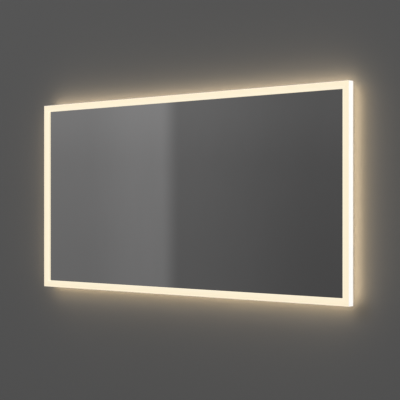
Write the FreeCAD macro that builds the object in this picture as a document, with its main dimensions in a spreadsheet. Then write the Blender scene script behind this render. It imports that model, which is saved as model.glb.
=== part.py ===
import FreeCAD, Part
import math
import os
import re
import Sketcher

# A wall mirror with a lit opal border, hung on a wall rail by two hooks.
#
# X runs to the right along the wall, Y into the wall and Z up. The wall is the plane Y = 0, and
# the origin is the middle of the wall rail's screw line. On the mirror itself, depths are
# measured back from its front face and insets inward from its outer edge.

SIZES = (
    # the whole mirror
    ("mirror_width", 1200.0),
    ("mirror_height", 600.0),
    ("mirror_depth", 45.0),          # front face to wall
    ("rail_below_top", 140.0),       # the rail's screw line under the mirror's upper edge
    # opal border
    ("band_width", 20.0),
    ("band_depth", 22.0),
    ("lip_thickness", 6.0),          # front lip, so the glass lies this deep
    ("opal_wall", 3.0),
    ("rear_lip", 14.0),
    ("opal_round", 1.5),             # outer edges
    ("lip_round", 0.8),              # front lip's edge beside the glass
    ("mitre_gap", 0.1),
    ("mitre_margin", 3.0),           # how far the mitre cuts run past a member's edges
    # glass and its tape
    ("glass_thickness", 4.0),
    ("glass_bite", 3.0),             # glass under the border's front lip
    ("glass_arris", 0.5),
    ("tape_thickness", 1.0),
    ("tape_width", 12.0),
    ("tape_setback", 0.5),
    # aluminium frame
    ("frame_gauge", 1.5),
    ("web_inset", 14.5),
    ("flange_width", 20.0),
    ("ledge_reach", 3.0),
    # light strips
    ("strip_width", 5.0),
    ("strip_thickness", 0.4),
    ("strip_clear", 0.6),            # frame's front face to the strip's front edge
    ("strip_end", 12.0),             # web corner to the strip's end
    ("chip_length", 3.5),
    ("chip_width", 2.8),
    ("chip_rise", 0.7),
    ("chip_pitch", 16.667),
    ("chip_margin", 10.0),
    ("link_width", 4.0),
    ("link_thickness", 0.2),
    ("link_lap", 6.0),
    # corner keys
    ("key_gauge", 3.0),
    ("key_width", 15.0),
    ("key_leg", 60.0),
    ("key_screw_near", 25.0),        # from the key's outer corner
    ("key_screw_far", 45.0),
    # back pan
    ("pan_gauge", 1.0),
    ("pan_inset", 12.0),
    ("box_inset", 65.0),
    ("pan_corner", 12.0),
    ("pan_edge_round", 1.5),
    ("pan_screw_corner", 90.0),
    ("bead_rise", 0.8),
    ("bead_width", 12.0),
    ("bead_length", 260.0),
    ("bead_height", 190.0),          # between the upper and lower bead
    # struts between the top and bottom rails
    ("strut_spacing", 800.0),
    ("strut_width", 80.0),
    ("strut_gauge", 1.5),
    ("strut_tab_clear", 1.0),
    ("strut_jog_clear", 3.0),
    ("strut_jog_run", 16.0),
    ("strut_screw_offset", 25.0),
    # hangers on the back
    ("hanger_length", 100.0),
    ("hanger_gauge", 1.5),
    ("hanger_leaf", 28.0),
    ("hanger_bolt_rise", 14.0),      # above the hanger's step
    ("hanger_bolt_offset", 25.0),
    ("hook_drop", 10.0),
    ("hook_clear", 0.6),
    # wall rail
    ("rail_length", 1000.0),
    ("rail_gauge", 2.0),
    ("rail_pocket", 3.0),            # behind the lip
    ("rail_foot", 16.0),             # below the screw line
    ("rail_step", 10.0),             # screw line to the underside of the step
    ("rail_lip", 12.0),
    ("slot_length", 12.0),
    ("slot_width", 5.5),
    ("slot_spacing_outer", 800.0),
    ("slot_spacing_inner", 300.0),
    ("bend_inside", 0.4),            # inside radius of the rail's and hangers' folds
    # rubber bumpers, as thick as the space between pan and wall
    ("bumper_height", 7.0),
    ("bumper_radius", 10.0),
    ("bumper_rim", 3.5),             # height of the straight part
    ("bumper_crown", 8.0),           # radius of the face on the wall
    ("bumper_side", 55.0),
    ("bumper_rise", 25.0),
    # access opening, its gasket and cover
    ("access_x", 230.0),
    ("access_z", 65.0),
    ("access_width", 120.0),
    ("access_height", 60.0),
    ("cover_overlap", 12.0),
    ("cover_gauge", 1.0),
    ("gasket_thickness", 0.8),
    ("gasket_setback", 1.0),
    ("cover_screw_inset", 6.0),
    # cable grommet
    ("grommet_bore", 4.5),
    ("grommet_neck", 6.5),
    ("grommet_flange", 9.0),
    ("grommet_lip", 2.0),
    ("grommet_below", 30.0),         # under the access opening
    # terminal box and block
    ("terminal_box_width", 172.0),
    ("terminal_box_height", 130.0),
    ("terminal_box_depth", 17.0),
    ("terminal_box_wall", 2.0),
    ("terminal_box_drop", 25.0),
    ("boss_radius", 4.0),
    ("boss_inset", 5.0),             # from the box's outer faces to its screws
    ("block_width", 42.0),
    ("block_height", 20.0),
    ("block_depth", 12.0),
    ("pole_pitch", 13.0),
    ("pole_spread", 10.0),
    ("well_radius", 2.2),
    ("well_depth", 5.0),
    ("wire_entry", 1.6),
    ("wire_entry_depth", 4.0),
    ("wire_entry_rise", 4.0),
    # earth stud
    ("stud_radius", 2.0),
    ("stud_length", 9.0),
    ("stud_base", 5.0),
    ("stud_base_height", 1.0),
    ("stud_x", 337.0),
    ("stud_z", 40.0),
    ("earth_nut_flats", 7.0),
    ("earth_nut_height", 3.2),
    ("tongue_radius", 4.0),
    ("tongue_gauge", 1.0),
    ("tongue_length", 14.0),
    ("crimp_radius", 2.2),
    ("crimp_length", 8.0),
    # light driver
    ("driver_x", -200.0),
    ("driver_z", -30.0),
    ("driver_length", 200.0),
    ("driver_height", 60.0),
    ("driver_depth", 22.0),
    ("driver_wall", 1.5),
    ("cap_thickness", 3.0),
    ("ear_length", 14.0),
    ("ear_thickness", 4.0),
    ("ear_screw_offset", 18.0),
    ("board_thickness", 1.6),
    ("board_clear", 1.0),
    ("board_seat", 4.0),
    ("core_length", 33.0),           # transformer
    ("core_height", 30.0),
    ("can_radius", 6.5),             # capacitors, one each side of the transformer
    ("can_offset", 50.0),
    # touch-free switch under the pan's lower wall
    ("sensor_x", 0.0),
    ("sensor_barrel", 5.4),
    ("sensor_length", 24.0),
    ("sensor_flange", 6.8),
    ("sensor_flange_height", 3.0),
    ("sensor_lens", 4.0),
    ("sensor_lens_depth", 2.0),
    ("sensor_nut_flats", 12.8),
    ("sensor_nut_height", 5.0),
    ("sensor_to_back", 7.5),         # barrel's middle to the pan's rear face
    # demister
    ("demister_width", 500.0),
    ("demister_height", 300.0),
    ("demister_thickness", 0.6),
    ("demister_tab_x", 72.0),
    ("demister_tab_z", 75.0),
    ("demister_tab_length", 24.0),
    ("demister_tab_height", 14.0),
    ("demister_tab_rise", 6.0),
    ("demister_tab_round", 2.0),
    # leads and their clips
    ("supply_lead_radius", 3.0),
    ("lead_radius", 2.0),
    ("earth_lead_radius", 1.5),
    ("lead_depth", 30.0),
    ("cap_lead_depth", 26.0),
    ("strip_lead_z", -42.0),
    ("supply_lead_drop", 50.0),      # under the terminal box's middle
    ("lead_off_line", 1.0),          # keeps a point out of line with its neighbours
    ("sensor_lead_sway", 14.0),
    ("sensor_lead_lift", 2.0),
    ("strip_lead_rise", 5.0),
    ("crimp_tab_width", 3.0),
    ("clip_length", 8.0),
    ("clip_wall", 2.0),
    ("clip_near", 30.0),             # from the terminal box
    ("clip_far", 90.0),
    ("sensor_clip_rise", 25.0),      # above the sensor's barrel
    # screws
    ("screw_radius", 1.45),
    ("screw_head", 2.8),
    ("screw_head_height", 1.7),
    ("screw_rim", 1.0),              # height of the head's straight part
    ("screw_crown", 2.25),           # radius of the head's top
    ("screw_recess", 1.0),
    ("recess_arm", 0.45),
    ("recess_reach", 1.6),
    ("sunk_head", 2.95),
    ("bolt_radius", 2.45),
    ("bolt_head", 4.4),
    ("bolt_head_height", 2.5),
    ("bolt_rim", 1.25),
    ("bolt_crown", 3.1),
    ("bolt_socket_flats", 3.0),
    ("bolt_socket_depth", 1.5),
    ("bolt_nut_flats", 8.0),
    ("bolt_nut_height", 3.5),
    ("bolt_tail", 1.0),
    ("thread_clear", 0.05),
    ("hole_clear", 0.3),
)

# Places that follow from the sizes. Each line may use the sizes and the lines above it.
PLACES = (
    ("rail_above_centre", "mirror_height / 2 - rail_below_top"),
    ("glass_inset", "band_width - glass_bite"),
    ("glass_front", "lip_thickness"),
    ("glass_back", "glass_front + glass_thickness"),
    ("tape_outer", "glass_inset + tape_setback"),
    ("tape_inner", "tape_outer + tape_width"),
    ("frame_front", "glass_back + tape_thickness"),
    ("frame_rear", "band_depth"),
    ("flange_front", "frame_rear - frame_gauge"),
    ("flange_inner", "web_inset + flange_width"),
    ("flange_line", "web_inset + flange_width / 2"),
    ("ledge_rear", "band_depth - opal_wall"),
    ("ledge_front", "ledge_rear - frame_gauge"),
    ("strip_front", "frame_front + strip_clear"),
    ("strip_rear", "strip_front + strip_width"),
    ("strip_middle", "(strip_front + strip_rear) / 2"),
    ("strip_face", "web_inset - strip_thickness"),
    ("link_end", "web_inset + strip_end + link_lap"),
    ("strip_lead_depth", "frame_front + frame_gauge + lead_radius + 2 * hole_clear"),
    ("key_front", "flange_front - key_gauge"),
    ("key_inset", "flange_line - key_width / 2"),
    ("pan_rear", "mirror_depth - bumper_height"),
    ("pan_inside", "pan_rear - pan_gauge"),
    ("flange_rear", "frame_rear + pan_gauge"),
    ("box_half_width", "mirror_width / 2 - box_inset"),
    ("box_half_height", "mirror_height / 2 - box_inset"),
    ("strut_tab_front", "flange_front - strut_gauge"),
    ("strut_end", "mirror_height / 2 - web_inset - frame_gauge - strut_tab_clear"),
    ("strut_jog_outer", "box_half_height - pan_gauge - strut_jog_clear"),
    ("strut_jog_inner", "strut_jog_outer - strut_jog_run"),
    ("strut_strap_front", "pan_inside - strut_gauge"),
    ("rail_web_top", "rail_step + rail_gauge"),
    ("rail_top", "rail_web_top + rail_lip"),
    ("rail_bend", "min(rail_gauge + bend_inside; rail_pocket - 1.5 * bend_inside)"),
    ("hanger_bend", "hanger_gauge + bend_inside"),
    ("hanger_bolt_z", "rail_top + hanger_bolt_rise + rail_above_centre"),
    ("access_low", "access_z - access_height / 2"),
    ("cover_rear", "pan_rear + gasket_thickness + cover_gauge"),
    ("cover_half_width", "access_width / 2 + cover_overlap"),
    ("cover_half_height", "access_height / 2 + cover_overlap"),
    ("grommet_z", "access_low - grommet_below"),
    ("terminal_left", "access_x - terminal_box_width / 2"),
    ("terminal_right", "access_x + terminal_box_width / 2"),
    ("terminal_middle", "access_z - terminal_box_drop"),
    ("supply_lead_z", "terminal_middle - supply_lead_drop"),
    ("terminal_low", "terminal_middle - terminal_box_height / 2"),
    ("terminal_high", "terminal_middle + terminal_box_height / 2"),
    ("terminal_front", "pan_inside - terminal_box_depth"),
    ("terminal_floor", "terminal_front + terminal_box_wall"),
    ("terminal_screw_x", "terminal_box_width / 2 - boss_inset"),
    ("terminal_screw_z", "terminal_box_height / 2 - boss_inset"),
    ("block_rear", "terminal_floor + block_depth"),
    ("tongue_rear", "pan_inside - stud_base_height"),
    ("tongue_front", "tongue_rear - tongue_gauge"),
    ("driver_left", "driver_x - driver_length / 2"),
    ("driver_right", "driver_x + driver_length / 2"),
    ("driver_front", "pan_inside - driver_depth"),
    ("driver_low", "driver_z - driver_height / 2"),
    ("driver_high", "driver_z + driver_height / 2"),
    ("core_front", "driver_front + driver_wall + board_clear"),
    ("board_rear", "pan_inside - driver_wall - board_seat"),
    ("board_front", "board_rear - board_thickness"),
    ("sensor_depth", "pan_rear - sensor_to_back"),
    ("sensor_top", "sensor_length - box_half_height"),
    ("demister_rear", "glass_back + demister_thickness"),
    ("demister_tab_depth", "demister_rear + demister_tab_rise / 2"),
    ("thread_radius", "screw_radius + thread_clear"),
    ("screw_hole", "screw_radius + hole_clear"),
    ("bolt_hole", "bolt_radius + hole_clear"),
)

SIZE_NAMES = {name for name, _ in SIZES}
PLACE_NAMES = {name for name, _ in PLACES}
WORD = r"[a-z][a-z_]*[a-z]"
NEAR = 0.01      # a length or distance under this counts as none

document = FreeCAD.newDocument("lighted_mirror")
subparts = []


# ---- sheets, expressions and sketches

def fill_sheets():
    """The driving sizes as plain numbers in one sheet, the places that follow in another."""
    sizes = document.addObject("Spreadsheet::Sheet", "sizes")
    for row, (name, value) in enumerate(SIZES, 1):
        sizes.set(f"A{row}", name)
        sizes.set(f"B{row}", str(value))
        sizes.setAlias(f"B{row}", name)
    document.recompute()
    places = document.addObject("Spreadsheet::Sheet", "places")
    for row, (name, formula) in enumerate(PLACES, 1):
        text = re.sub(WORD, lambda m: f"sizes.{m[0]}" if m[0] in SIZE_NAMES else m[0], formula)
        places.set(f"A{row}", name)
        places.set(f"B{row}", "=" + text)
        places.setAlias(f"B{row}", name)
    document.recompute()


def bound(formula):
    """A formula in plain names as an expression that points at the sheets' cells."""
    def cell(match):
        if match[0] in SIZE_NAMES:
            return "sizes." + match[0]
        return "places." + match[0] if match[0] in PLACE_NAMES else match[0]
    return re.sub(WORD, cell, formula)


def value(name):
    """The number in a named cell."""
    sheet = document.sizes if name in SIZE_NAMES else document.places
    return float(sheet.get(name))


def keep(label, piece):
    """Names a finished sub-part and puts it on the list of what is written."""
    piece.Label = label
    subparts.append(piece)
    return piece


def place(piece, x="0", depth="0", z="0", turn=0.0, axis=(0, 1, 0)):
    """Puts a piece at X, a depth behind the front face and a height from the mirror's middle."""
    rotation = FreeCAD.Rotation(FreeCAD.Vector(*axis), turn)
    piece.Placement = FreeCAD.Placement(FreeCAD.Vector(), rotation)
    piece.setExpression("Placement.Base.x", bound(x))
    piece.setExpression("Placement.Base.y", bound(f"{depth} - mirror_depth"))
    piece.setExpression("Placement.Base.z", bound(f"{z} - rail_above_centre"))
    return piece


def origin_feature(body, role):
    """One of the body's own origin planes or axes."""
    return [feature for feature in body.Origin.OriginFeatures if feature.Role == role][0]


def new_sketch(body, plane, name, offset):
    """A sketch on one of the body's own origin planes, moved along its normal."""
    sketch = body.newObject("Sketcher::SketchObject", name)
    sketch.AttachmentSupport = [(origin_feature(body, plane), "")]
    sketch.MapMode = "FlatFace"
    sketch.setExpression("AttachmentOffset.Base.z", bound(offset))
    return sketch


def pin(sketch, kind, index, point, formula, start):
    """One driven dimension of a sketch."""
    number = sketch.addConstraint(Sketcher.Constraint(kind, index, point, start))
    sketch.setExpression(f"Constraints[{number}]", bound(formula))


def outline(body, plane, name, *loops, offset="0"):
    """A sketch of closed straight-sided loops whose corners are driven by formulas."""
    sketch = new_sketch(body, plane, name, offset)
    first = 0
    for corners in loops:
        count = len(corners)
        turn = 2 * math.pi / count
        start = [FreeCAD.Vector(math.cos(turn * k), math.sin(turn * k), 0) for k in range(count)]
        for k in range(count):
            sketch.addGeometry(Part.LineSegment(start[k], start[(k + 1) % count]), False)
        for k in range(count):
            after = first + (k + 1) % count
            sketch.addConstraint(Sketcher.Constraint("Coincident", first + k, 2, after, 1))
        for k, (across, up) in enumerate(corners):
            pin(sketch, "DistanceX", first + k, 1, across, start[k].x)
            pin(sketch, "DistanceY", first + k, 1, up, start[k].y)
        first += count
    return sketch


def circles(body, plane, name, holes, offset="0"):
    """A sketch of circles, each given by its two coordinates and its radius."""
    sketch = new_sketch(body, plane, name, offset)
    for k, (across, up, radius) in enumerate(holes):
        sketch.addGeometry(Part.Circle(FreeCAD.Vector(k, 0, 0), FreeCAD.Vector(0, 0, 1), 1), False)
        pin(sketch, "DistanceX", k, 3, across, k)
        pin(sketch, "DistanceY", k, 3, up, 0)
        number = sketch.addConstraint(Sketcher.Constraint("Radius", k, 1.0))
        sketch.setExpression(f"Constraints[{number}]", bound(radius))
    return sketch


def rectangle(half_width, half_height):
    """The four corners of a rectangle about the sketch's origin."""
    signs = ((-1, -1), (1, -1), (1, 1), (-1, 1))
    return [(f"{i} * ({half_width})", f"{j} * ({half_height})") for i, j in signs]


def pad(body, name, sketch, length, reverse=False, middle=False):
    """A pad of a sketch. Towards the wall is against the normal of the XZ plane."""
    feature = body.newObject("PartDesign::Pad", name)
    feature.Profile = sketch
    feature.Reversed = reverse
    feature.Midplane = middle
    feature.setExpression("Length", bound(length))
    return feature


def pocket(body, name, sketch, length=None, reverse=False, taper=0.0):
    """A pocket that must remove something, with no length right through both ways."""
    document.recompute()
    before = body.Shape.Volume
    feature = body.newObject("PartDesign::Pocket", name)
    feature.Profile = sketch
    feature.Reversed = reverse
    feature.TaperAngle = taper
    if length is None:
        feature.Type = "ThroughAll"
        feature.Midplane = True
    else:
        feature.setExpression("Length", bound(length))
    document.recompute()
    if feature.Shape.Volume >= before:
        raise RuntimeError(f"{name} cuts nothing")
    return feature


def edges_where(feature, test):
    """The names of a feature's edges that pass a test."""
    return [f"Edge{k}" for k, edge in enumerate(feature.Shape.Edges, 1) if test(edge)]


def round_edges(body, name, sketch, numbers, radius):
    """Rounds the long edges of a straight member at some corners of its section, by number."""
    document.recompute()
    spots = [sketch.Geometry[k].StartPoint for k in numbers]
    base = body.Tip

    def at_corner(edge):
        middle = edge.BoundBox.Center
        return edge.BoundBox.YLength < NEAR and edge.BoundBox.ZLength < NEAR and any(
            abs(middle.y - spot.x) < NEAR and abs(middle.z - spot.y) < NEAR for spot in spots)

    fillet = body.newObject("PartDesign::Fillet", name)
    fillet.Base = (base, edges_where(base, at_corner))
    fillet.setExpression("Radius", bound(radius))


# ---- solids of plain form, and groups

def block(name, x, depth, z):
    """A box between two X values, two depths and two heights."""
    box = document.addObject("Part::Box", name)
    box.setExpression("Length", bound(f"({x[1]}) - ({x[0]})"))
    box.setExpression("Width", bound(f"({depth[1]}) - ({depth[0]})"))
    box.setExpression("Height", bound(f"({z[1]}) - ({z[0]})"))
    return place(box, x[0], depth[0], z[0])


def rod(name, radius, length, x, depth, z, along="depth"):
    """A cylinder that starts at a point and runs along X, the depth or Z."""
    cylinder = document.addObject("Part::Cylinder", name)
    cylinder.setExpression("Radius", bound(radius))
    cylinder.setExpression("Height", bound(length))
    turn, axis = {"x": (90, (0, 1, 0)), "depth": (-90, (1, 0, 0)), "z": (0, (0, 0, 1))}[along]
    return place(cylinder, x, depth, z, turn, axis)


def fuse(name, *pieces):
    """Several solids joined into one."""
    joined = document.addObject("Part::MultiFuse", name)
    joined.Shapes = list(pieces)
    joined.Refine = True
    return joined


def cut(name, base, *tools):
    """A solid with one or more others taken away."""
    result = document.addObject("Part::Cut", name)
    result.Base = base
    result.Tool = tools[0] if len(tools) == 1 else fuse(name + "_tools", *tools)
    return result


def turned(name, profile):
    """A body turned about its Y axis from corners given as radius and distance along the axis."""
    body = document.addObject("PartDesign::Body", name)
    sketch = outline(body, "XY_Plane", name + "_profile", profile)
    feature = body.newObject("PartDesign::Revolution", name + "_turned")
    feature.Profile = sketch
    feature.ReferenceAxis = (sketch, ["V_Axis"])
    feature.Angle = 360
    return body


def hexagon(flats):
    """The six corners of a hexagon that is as wide as this across its flats, flats up and down."""
    reach = f"({flats}) / sqrt(3)"
    return [(f"{math.cos(math.radians(60 * k)):.9f} * {reach}",
             f"{math.sin(math.radians(60 * k)):.9f} * {reach}") for k in range(6)]


def cross(reach, arm):
    """The twelve corners of a cross recess."""
    quarter = [(reach, arm), (arm, arm), (arm, reach)]
    corners = []
    for turn in range(4):
        for across, up in quarter:
            if turn == 0:
                corners.append((across, up))
            elif turn == 1:
                corners.append((f"-{up}", across))
            elif turn == 2:
                corners.append((f"-{across}", f"-{up}"))
            else:
                corners.append((up, f"-{across}"))
    return corners


def group(label, master, spots):
    """Identical pieces as one sub-part: a link to the master at each spot."""
    copies = []
    for k, (x, depth, z, turn) in enumerate(spots, 1):
        link = document.addObject("App::Link", f"{label}_{k}")
        link.LinkedObject = master
        copies.append(place(link, x, depth, z, turn))
    compound = document.addObject("Part::Compound", label)
    compound.Links = copies
    return keep(label, compound)


def corners():
    """X, Z and turn of the four outer corners, for a piece drawn at the upper right one."""
    half_width, half_height = "mirror_width / 2", "mirror_height / 2"
    return {
        "upper_right": (half_width, half_height, 0),
        "lower_right": (half_width, f"-{half_height}", 90),
        "lower_left": (f"-{half_width}", f"-{half_height}", 180),
        "upper_left": (f"-{half_width}", half_height, -90),
    }


# ---- long members, drawn once with their outer face up and turned to each side

SIDES = {
    "top": ("mirror_width", "0", "mirror_height / 2", 0),
    "bottom": ("mirror_width", "0", "-mirror_height / 2", 180),
    "left": ("mirror_height", "-mirror_width / 2", "0", -90),
    "right": ("mirror_height", "mirror_width / 2", "0", 90),
}


def member(label, side, section, shorten="0"):
    """A straight member along one side of the mirror, from its section, and that sketch."""
    length, x, z, turn = SIDES[side]
    body = document.addObject("PartDesign::Body", label)
    sketch = outline(body, "YZ_Plane", label + "_section", section)
    pad(body, label + "_run", sketch, f"{length} - 2 * ({shorten})", middle=True)
    place(body, x, "0", z, turn)
    return keep(label, body), sketch


def mitre(body, label, side, reach):
    """Cuts both ends of a member at 45 degrees."""
    half = f"{SIDES[side][0]} / 2"
    line = f"{half} - mitre_gap / 2"
    past = "mitre_margin"
    inner = f"-({reach} + {past})"
    right = [(f"{line} + {past}", past), (f"{half} + 2 * {past}", past),
             (f"{half} + 2 * {past}", inner), (f"{line} + {inner}", inner)]
    left = [(f"-({across})", up) for across, up in right]
    sketch = outline(body, "XZ_Plane", label + "_mitre_lines", right, left)
    pocket(body, label + "_mitres", sketch)


def opal_border():
    """Four opal profiles: a thick front lip over the glass, the lit side, and a rear lip."""
    section = [("0", "0"), ("band_depth", "0"), ("band_depth", "-rear_lip"),
               ("ledge_rear", "-rear_lip"), ("ledge_rear", "-opal_wall"),
               ("lip_thickness", "-opal_wall"), ("lip_thickness", "-band_width"),
               ("0", "-band_width")]
    outer_corners, lip_corner = (0, 1), (7,)
    for side in SIDES:
        label = "diffuser_" + side
        body, sketch = member(label, side, section)
        round_edges(body, label + "_outer_rounds", sketch, outer_corners, "opal_round")
        round_edges(body, label + "_lip_round", sketch, lip_corner, "lip_round")
        mitre(body, label, side, "band_width")


def frame_screw_spots(side):
    """Where countersunk screws and pan screws meet a rail's rear flange, from its middle."""
    half = f"{SIDES[side][0]} / 2"
    sunk = []
    for sign in (-1, 1):
        for reach in ("key_screw_near", "key_screw_far"):
            sunk.append(f"{sign} * ({half} - key_inset - {reach})")
        if side in ("top", "bottom"):
            for step in (-1, 1):
                sunk.append(f"{sign} * strut_spacing / 2 + {step} * strut_screw_offset")
    steps = (-2, -1, 0, 1, 2) if side in ("top", "bottom") else (-2, 0, 2)
    plain = [f"{step} * ({half} - pan_screw_corner) / 2" for step in steps]
    return sunk, plain


def frame():
    """Four aluminium rails: flanges to the glass and the pan, and a ledge for the border."""
    section = [("frame_front", "-flange_inner"), ("frame_front", "-web_inset"),
               ("ledge_front", "-web_inset"), ("ledge_front", "-(web_inset - ledge_reach)"),
               ("ledge_rear", "-(web_inset - ledge_reach)"), ("ledge_rear", "-web_inset"),
               ("frame_rear", "-web_inset"), ("frame_rear", "-flange_inner"),
               ("flange_front", "-flange_inner"), ("flange_front", "-(web_inset + frame_gauge)"),
               ("frame_front + frame_gauge", "-(web_inset + frame_gauge)"),
               ("frame_front + frame_gauge", "-flange_inner")]
    for side in SIDES:
        label = "frame_rail_" + side
        body, _ = member(label, side, section)
        mitre(body, label, side, "flange_inner")
        sunk, plain = frame_screw_spots(side)
        sinks = circles(body, "XZ_Plane", label + "_sinks",
                        [(spot, "-flange_line", "sunk_head + thread_clear") for spot in sunk],
                        offset="-frame_rear")
        taper = math.degrees(math.atan(
            (value("sunk_head") - value("screw_radius")) / value("frame_gauge")))
        pocket(body, label + "_countersinks", sinks, "frame_gauge", reverse=True, taper=-taper)
        taps = circles(body, "XZ_Plane", label + "_taps",
                       [(spot, "-flange_line", "thread_radius") for spot in plain],
                       offset="-frame_rear")
        pocket(body, label + "_tapped", taps, "frame_gauge", reverse=True)
        if side == "left":
            hole = circles(body, "XY_Plane", label + "_lead_hole",
                           [("strip_lead_z", "strip_lead_depth", "lead_radius + hole_clear")],
                           offset="-(web_inset + frame_gauge)")
            pocket(body, label + "_lead_way", hole, "frame_gauge", reverse=True)


def light_strips():
    """A circuit board with a row of light chips on each rail's outer face."""
    board = [("strip_front", "-web_inset"), ("strip_rear", "-web_inset"),
             ("strip_rear", "-strip_face"), ("strip_front", "-strip_face")]
    low, high = "strip_middle - chip_width / 2", "strip_middle + chip_width / 2"
    chip = [(low, "-strip_face"), (high, "-strip_face"),
            (high, "-(strip_face - chip_rise)"), (low, "-(strip_face - chip_rise)")]
    for side in SIDES:
        member("led_board_" + side, side, board, shorten="web_inset + strip_end")
        length, x, z, turn = SIDES[side]
        label = "led_chips_" + side
        steps = f"floor(({length} - 2 * (link_end + chip_margin)) / chip_pitch)"
        body = document.addObject("PartDesign::Body", label)
        sketch = outline(body, "YZ_Plane", label + "_section", chip,
                         offset=f"-({steps} * chip_pitch + chip_length) / 2")
        first = pad(body, label + "_first", sketch, "chip_length")
        row = body.newObject("PartDesign::LinearPattern", label + "_row")
        row.Originals = [first]
        row.Direction = (origin_feature(body, "X_Axis"), [""])
        row.setExpression("Length", bound(f"{steps} * chip_pitch"))
        row.setExpression("Occurrences", bound(f"{steps} + 1"))
        body.Tip = row
        place(body, x, "0", z, turn)
        keep(label, body)


def strip_links():
    """Thin folded links that carry the supply round three corners, from board to board."""
    outer, inner, end = "-(strip_face - link_thickness)", "-strip_face", "-link_end"
    shape = [(outer, outer), (end, outer), (end, inner), (inner, inner), (inner, end), (outer, end)]
    master = document.addObject("PartDesign::Body", "strip_link")
    sketch = outline(master, "XZ_Plane", "strip_link_shape", shape,
                     offset="-(strip_middle - link_width / 2)")
    pad(master, "strip_link_pad", sketch, "link_width", reverse=True)
    spots = [(x, "0", z, turn) for name, (x, z, turn) in corners().items() if name != "lower_left"]
    group("strip_links", master, spots)


def corner_keys():
    """L plates that tie the rails at the corners, and their countersunk screws."""
    near, far, end = "-key_inset", "-(key_inset + key_width)", "-(key_inset + key_leg)"
    shape = [(near, near), (end, near), (end, far), (far, far), (far, end), (near, end)]
    master = document.addObject("PartDesign::Body", "corner_key")
    sketch = outline(master, "XZ_Plane", "corner_key_shape", shape, offset="-key_front")
    pad(master, "corner_key_plate", sketch, "key_gauge", reverse=True)
    along = [f"-(key_inset + {reach})" for reach in ("key_screw_near", "key_screw_far")]
    holes = [(a, "-flange_line", "thread_radius") for a in along]
    holes += [("-flange_line", a, "thread_radius") for a in along]
    pocket(master, "corner_key_tapped", circles(master, "XZ_Plane", "corner_key_taps", holes))
    group("corner_keys", master, [(x, "0", z, turn) for x, z, turn in corners().values()])

    screw = sunk_screw("key_screw", "frame_gauge + key_gauge")
    spots = []
    for sign_x in (-1, 1):
        for sign_z in (-1, 1):
            for reach in ("key_screw_near", "key_screw_far"):
                edge_x = f"{sign_x} * (mirror_width / 2 - {{0}})"
                edge_z = f"{sign_z} * (mirror_height / 2 - {{0}})"
                along_line = f"key_inset - {reach}"
                spots.append((edge_x.format(along_line), "frame_rear",
                              edge_z.format("flange_line"), 0))
                spots.append((edge_x.format("flange_line"), "frame_rear",
                              edge_z.format(along_line), 0))
    group("corner_key_screws", screw, spots)


# ---- screws, drawn with their heads towards the wall and their seat at the origin

def recess(body, name, top, shape, depth):
    """A driver recess in the top of a head."""
    sketch = outline(body, "XZ_Plane", name + "_recess_shape", shape, offset=f"-({top})")
    pocket(body, name + "_recess", sketch, depth, reverse=True)


def sunk_screw(name, length):
    """A countersunk screw whose flat head ends level with its seat."""
    body = turned(name, [("0", "0"), ("sunk_head", "0"), ("screw_radius", "-frame_gauge"),
                         ("screw_radius", f"-({length})"), ("0", f"-({length})")])
    recess(body, name, "0", cross("recess_reach", "recess_arm"), "screw_recess")
    return body


def pan_screw(name, length):
    """A screw with a low head that narrows above its rim."""
    body = turned(name, [("0", f"-({length})"), ("screw_radius", f"-({length})"),
                         ("screw_radius", "0"), ("screw_head", "0"), ("screw_head", "screw_rim"),
                         ("screw_crown", "screw_head_height"), ("0", "screw_head_height")])
    recess(body, name, "screw_head_height", cross("recess_reach", "recess_arm"), "screw_recess")
    return body


# ---- glass and demister

def glass():
    """The mirror glass with its arrised edges, the tape ring behind it and the demister pad."""
    body = document.addObject("PartDesign::Body", "mirror_glass")
    half = [f"mirror_{side} / 2 - glass_inset" for side in ("width", "height")]
    sketch = outline(body, "XZ_Plane", "glass_outline", rectangle(*half), offset="-glass_front")
    plate = pad(body, "glass_plate", sketch, "glass_thickness", reverse=True)
    document.recompute()
    arris = body.newObject("PartDesign::Chamfer", "glass_arrises")
    arris.Base = (plate, edges_where(plate, lambda edge: edge.BoundBox.YLength < NEAR))
    arris.setExpression("Size", bound("glass_arris"))
    keep("mirror_glass", place(body))

    body = document.addObject("PartDesign::Body", "glass_tape")
    rings = [rectangle(f"mirror_width / 2 - {edge}", f"mirror_height / 2 - {edge}")
             for edge in ("tape_outer", "tape_inner")]
    sketch = outline(body, "XZ_Plane", "tape_outline", *rings, offset="-glass_back")
    pad(body, "tape_ring", sketch, "tape_thickness", reverse=True)
    keep("glass_tape", place(body))

    pad_half = ("demister_width / 2", "demister_height / 2")
    keep("demister_pad", block("demister_pad", (f"-{pad_half[0]}", pad_half[0]),
                               ("glass_back", "demister_rear"), (f"-{pad_half[1]}", pad_half[1])))
    tab = block("demister_tab",
                ("demister_tab_x - demister_tab_length / 2",
                 "demister_tab_x + demister_tab_length / 2"),
                ("demister_rear", "demister_rear + demister_tab_rise"),
                ("demister_tab_z - demister_tab_height / 2",
                 "demister_tab_z + demister_tab_height / 2"))
    document.recompute()
    rounded = document.addObject("Part::Fillet", "demister_terminal")
    rounded.Base = tab
    upright = [k for k, edge in enumerate(tab.Shape.Edges, 1) if edge.BoundBox.YLength > NEAR]
    radius = value("demister_tab_round")
    rounded.Edges = [(k, radius, radius) for k in upright]
    keep("demister_terminal", rounded)


# ---- back pan, struts, hangers, rail and bumpers

def pan_screw_spots():
    """Where the pan's screws sit, from the mirror's middle."""
    spots = []
    for sign in (-1, 1):
        for step in (-2, -1, 0, 1, 2):
            spots.append((f"{step} * (mirror_width / 2 - pan_screw_corner) / 2",
                          f"{sign} * (mirror_height / 2 - flange_line)"))
        for step in (-2, 0, 2):
            spots.append((f"{sign} * (mirror_width / 2 - flange_line)",
                          f"{step} * (mirror_height / 2 - pan_screw_corner) / 2"))
    return spots


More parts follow.
